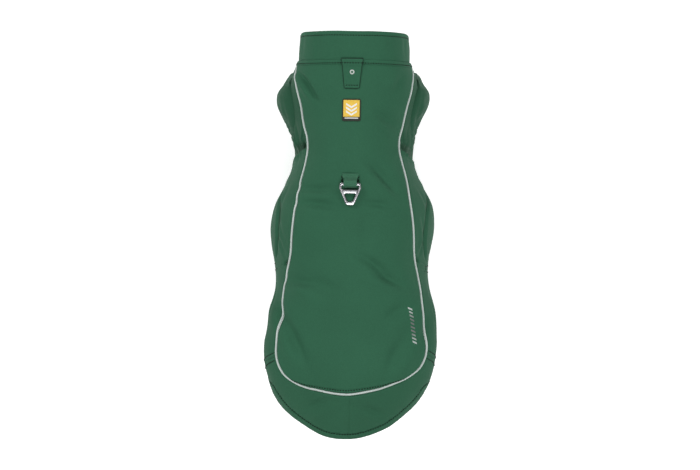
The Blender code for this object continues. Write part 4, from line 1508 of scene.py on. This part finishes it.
def metalMaterial():
    # cast aluminium, tumbled: soft grain, random lighter and darker patches, and faint bright streaks
    made, tree, where, _ = newMaterial("tumbled_aluminium")
    grain = noise(tree, where, 1500, 3, 0.6)
    patches = noise(tree, where, 130, 2, 0.5)
    streaks = noise(tree, stretched(tree, where, (300, 3200, 300), 0.5), 1, 2)
    colour = mixed(tree, spread(tree, patches, 0.3, 0.7, 0, 1), (0.32, 0.32, 0.34, 1), (0.50, 0.50, 0.52, 1))
    colour = mixed(tree, spread(tree, streaks, 0.6, 0.8, 0, 0.35), colour, (0.72, 0.72, 0.73, 1))
    rough = times(tree, grain, 0.12, times(tree, patches, 0.1, 0.1))
    return finish(made, colour, rough, times(tree, streaks, 0.4, grain), 0.15, 0.05, metal=1.0)


def mirrored(half):
    # an outline from the points of its right half, starting from the first one's mirror image
    other = [(-x, y) for x, y in half]
    return other[:1] + list(half) + other[:0:-1]


def leashRing():
    # a flat plate with a slot and an eye, its edges rounded, laid down from the hinge to the cloth
    r = ringSizes
    curve = bpy.data.curves.new("ring_outline", "CURVE")
    curve.dimensions, curve.fill_mode = "2D", "BOTH"
    curve.extrude, curve.bevel_depth = (r["halfThick"] - r["edge"]) * mm, r["edge"] * mm
    curve.bevel_resolution, curve.offset = 4, -r["edge"] * mm
    for half, radius, steps in (r["outside"], r["slot"], r["eye"]):
        outline = roundedOutline(mirrored(half), radius, steps)
        line = curve.splines.new("POLY")
        line.points.add(len(outline) - 1)
        ends = np.column_stack([outline * mm, np.zeros(len(outline)), np.ones(len(outline))])
        line.points.foreach_set("co", ends.ravel())
        line.use_cyclic_u = True
    drawn = bpy.data.objects.new("ring_outline", curve)
    mesh = bpy.data.meshes.new_from_object(drawn)
    bpy.data.objects.remove(drawn)
    points = np.zeros(len(mesh.vertices) * 3)
    mesh.vertices.foreach_get("co", points)
    x, y, z = points.reshape(-1, 3).T
    c, s = math.cos(math.radians(r["tilt"])), math.sin(math.radians(r["tilt"]))
    points = np.column_stack([x, y * c - z * s, y * s + z * c]) + hinge * mm
    mesh.vertices.foreach_set("co", points.ravel())
    return mesh


def finishRing(mesh):
    welded = bmesh.new()
    welded.from_mesh(mesh)
    bmesh.ops.remove_doubles(welded, verts=welded.verts, dist=1e-6)
    bmesh.ops.recalc_face_normals(welded, faces=welded.faces)
    welded.to_mesh(mesh)
    welded.free()
    mesh.polygons.foreach_set("use_smooth", np.ones(len(mesh.polygons), bool))
    mesh.materials.clear()
    mesh.materials.append(metalMaterial())
    made = bpy.data.objects.new("leash_ring_cast", mesh)
    bpy.context.scene.collection.objects.link(made)
    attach(made, "ring")
    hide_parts("leash_ring")


finishRing(leashRing())
print("webbing and ring made")


stitchValues = {"pitch": 3.2, "length": 2.1, "radius": 0.6, "rise": 0.28, "sides": 6}


def seamLine(name, edge, distance, lift=0.03, lo=0.0, hi=1.0):
    # the points of a panel's outer face at a set distance from one of its edges, with their outward directions
    grid, out = edgesOf[name]
    if edge in ("left", "right"):
        grid, out = np.swapaxes(grid, 0, 1), np.swapaxes(out, 0, 1)
    if edge in ("last", "right"):
        grid, out = grid[::-1], out[::-1]
    _, down = gridLengths(grid)
    row = np.clip(np.sum(down < distance, axis=0), 1, len(grid) - 1)
    column = np.arange(grid.shape[1])
    before, after = down[row - 1, column], down[row, column]
    share = np.clip((distance - before) / np.maximum(after - before, 1e-6), 0, 1)[:, None]
    points = grid[row - 1, column] * (1 - share) + grid[row, column] * share
    ways = out[row, column]
    shown = slice(int(lo * len(points)), int(math.ceil(hi * len(points))))
    return points[shown] + ways[shown] * lift, ways[shown]


def stitchRow(path, ways, closed=False):
    # one short thread for each pitch: a six-sided spindle, arched a little above the cloth, its ends in the cloth
    v = stitchValues
    even, ways = evenly(path, v["pitch"], closed, ways)
    along = np.roll(even, -1, axis=0) - even
    middle = even + along / 2
    if not closed:
        along, middle, ways = along[:-1], middle[:-1], ways[:-1]
    along = unit(along)
    side = unit(np.cross(along, ways))
    u = np.array([-1, -0.8, -0.3, 0.3, 0.8, 1.0])[:, None]
    thick = np.array([0.35, 0.85, 1.0, 1.0, 0.85, 0.35])[:, None] * v["radius"]
    turn = fullTurn(v["sides"])[None, :]
    height = thick * np.sin(turn) + v["rise"] * (1 - u**2) - 0.05 - 0.22 * np.abs(u) ** 6
    offsets = (u * v["length"] / 2 + 0 * turn, thick * np.cos(turn), height)
    ways = (along, side, ways)
    return middle[:, None, None] + sum(way[:, None, None] * each[..., None] for way, each in zip(ways, offsets))


def stitches(name, rows):
    # all of a group's threads in one mesh
    grids = np.concatenate([stitchRow(*row) for row in rows])
    count, rings, sides = grids.shape[:3]
    flat = grids.reshape(count, -1, 3)
    one = turnedOut(tubeFaces(rings, sides, caps=True), flat[0] - flat[0].mean(axis=0))
    uv = np.stack(patch(np.linspace(0, stitchValues["length"], rings) * mm, np.linspace(0, 1, sides)), axis=-1)
    uv = np.broadcast_to(uv.reshape(1, -1, 2), (count, rings * sides, 2)).reshape(-1, 2)
    addMesh(name, flat.reshape(-1, 3), copies(one, count, rings * sides), uv, [threadWithPaintedShade])
    print(name, count, "stitches")


def backRow(x, station, lift):
    # a row of stitches over a piece on the upper side
    return onBack(x, station, lift), formNormal(*over(x, station))


def tabRow():
    # straight across the tab's end
    t = tabValues
    across, station = np.linspace(-0.8, 0.8, 40), np.full(40, t["stitchAt"])
    return backRow(leftOfSpine + across * t["halfRow"], station, tabLift(station, across) + sunk)


def bandRow():
    # the neck band's stitches, which climb over the tab
    b, halfTab = bandValues, tabValues["halfBand"]
    angle = aroundNeck(720)
    station = np.full(720, b["stitchAt"])
    share = (b["stitchAt"] - b["start"]) / (b["end"] - b["start"])
    x = bareForm(station, angle)[:, 0] - leftOfSpine
    overTab = (1 - ease((np.abs(x) - halfTab) / 1.2)) * (np.abs(angle) < 90)
    plain = b["lift"] + b["swell"] * math.sin(math.pi * share) ** 0.55 - 0.5
    lift = plain * (1 - overTab) + (tabLift(station, x / halfTab) + sunk) * overTab
    return clothFace(station, angle, lift), formNormal(station, angle), True


def lipRows():
    # two rows along the lip and a bar tack down each end
    v = lipValues
    across = leftOfSpine + np.linspace(-0.93, 0.93, 40) * v["halfWidth"]
    down = np.linspace(v["start"] + 0.9, v["end"] + 4.5, 30)
    stations = (v["start"] + 0.8, v["end"] - 0.9)
    rows = [backRow(across, np.full(40, station), v["thick"] + 0.08) for station in stations]
    lift = 0.25 + v["thick"] * (down < v["end"])
    for side in (-0.936, 0.936):
        rows.append(backRow(np.full(30, leftOfSpine + side * v["halfWidth"]), down, lift))
    return rows


sunk = 0.03  # how far a row's middle line lies above the cloth
hemAt, seamAt = edgeFinish["stitchAt"], edgeFinish["seamStitchAt"]
collarTop, collarWays = seamLine("collar_cloth", "last", collarSize["stitchAt"] - 1.2)
neckRows = [(collarTop, -collarWays, True), bandRow(), tabRow()]
hemRows = [seamLine("belly_cloth", "last", hemAt)]
seamRows = [seamLine("back_cloth", "last", seamAt, sunk, 0.03, 0.97), *lipRows()]
for word in ("left", "right"):
    hemRows.append(seamLine(f"flank_cloth_{word}", "last", hemAt))
    hemRows.append(seamLine(f"tail_cloth_{word}", "last", hemRun[f"tail_cloth_{word}"]))
    hemRows.append((*seamLine(f"sleeve_cloth_{word}", "last", hemAt), True))
    for part, edge in (("flank", "right"), ("tail", "left")):
        seamRows.append(seamLine(f"{part}_cloth_{word}", edge, seamAt, sunk, 0.06, 0.93))
stitches("neck_stitches", neckRows)
stitches("hem_stitches", hemRows)
stitches("seam_stitches", seamRows)


def floorMaterial():
    made, tree, where, _ = newMaterial("pale_floor")
    cloud = noise(tree, where, 3, 2, 0.5)
    colour = mixed(tree, cloud, (0.90, 0.90, 0.90, 1), (0.93, 0.93, 0.93, 1))
    rough = spread(tree, cloud, 0.3, 0.7, 0.85, 0.9)
    settings = {"gloss": 0.1, "glowTint": (1, 1, 1, 1), "glow": 0.55}
    return finish(made, colour, rough, noise(tree, where, 220, 2), 0.05, 0.1, **settings)


floorValues = {"half": 6000.0, "below": 4.0}


def floor():
    f = floorValues
    u, v = patch(np.linspace(-1, 1, 9), np.linspace(-1, 1, 9))
    low = float(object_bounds()[0][2]) / mm - f["below"]
    points = np.stack([u * f["half"], v * f["half"], np.full(u.shape, low)], axis=-1).reshape(-1, 3)
    mesh = bpy.data.meshes.new("floor")
    mesh.from_pydata((points * mm).tolist(), [], quads(np.arange(u.size).reshape(u.shape).T).tolist())
    mesh.materials.append(floorMaterial())
    made = bpy.data.objects.new("floor", mesh)
    bpy.context.scene.collection.objects.link(made)
    made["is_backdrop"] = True


floor()

lightValues = {
    # where each stands, its width, and its watts
    "headLeft": ((-1.2, 1.3, 1.25), 0.7, 16.0),
    "headRight": ((1.2, 1.1, 1.3), 0.7, 9.0),
    "above": ((0.15, -1.0, 1.9), 1.0, 24.0),
}


def stand(name, data, across, up, back, where):
    # a light or camera set up by its own three directions
    made = bpy.data.objects.new(name, data)
    turned = np.vstack([np.column_stack([across, up, back, where]), [0, 0, 0, 1]])
    made.matrix_world = Matrix(turned.tolist())
    bpy.context.scene.collection.objects.link(made)
    return made


def areaLight(name, where, width, watts):
    # it faces the part's origin
    data = bpy.data.lights.new(name, "AREA")
    data.shape, data.size, data.energy = "SQUARE", width, watts
    back = unit(np.array(where))
    across = unit(np.cross([0, 1, 0], back))
    stand(name, data, across, np.cross(back, across), back, where)


for name, (where, width, watts) in lightValues.items():
    areaLight(f"light_{name}", where, width, watts)
world = bpy.data.worlds.new("studio")
world.use_nodes = True
sky = world.node_tree.nodes["Background"]
sky.inputs["Color"].default_value = (1, 1, 1, 1)
sky.inputs["Strength"].default_value = 0.35
bpy.context.scene.world = world
bpy.context.scene.view_settings.view_transform = "Standard"

cameraValues = {"distance": 1.9, "elevation": 88.0, "roll": 0.92, "lens": 83.2, "aim": (-0.0019, -0.0003, 0.0)}


def camera():
    # nearly straight above, leaning towards the tail, and rolled as the garment lies in the photograph
    v = cameraValues
    data = bpy.data.cameras.new("camera")
    data.lens, data.sensor_width, data.clip_start, data.clip_end = v["lens"], 36.0, 0.05, 50.0
    rise, roll = math.radians(v["elevation"]), math.radians(v["roll"])
    back = np.array([0, -math.cos(rise), math.sin(rise)])
    level, upward = np.array([1.0, 0, 0]), np.array([0, math.sin(rise), math.cos(rise)])
    right, up = level * math.cos(roll) + upward * math.sin(roll), upward * math.cos(roll) - level * math.sin(roll)
    where = np.array(v["aim"]) + back * v["distance"]
    bpy.context.scene.camera = stand("camera", data, right, up, back, where)


camera()
print("lights and camera made")
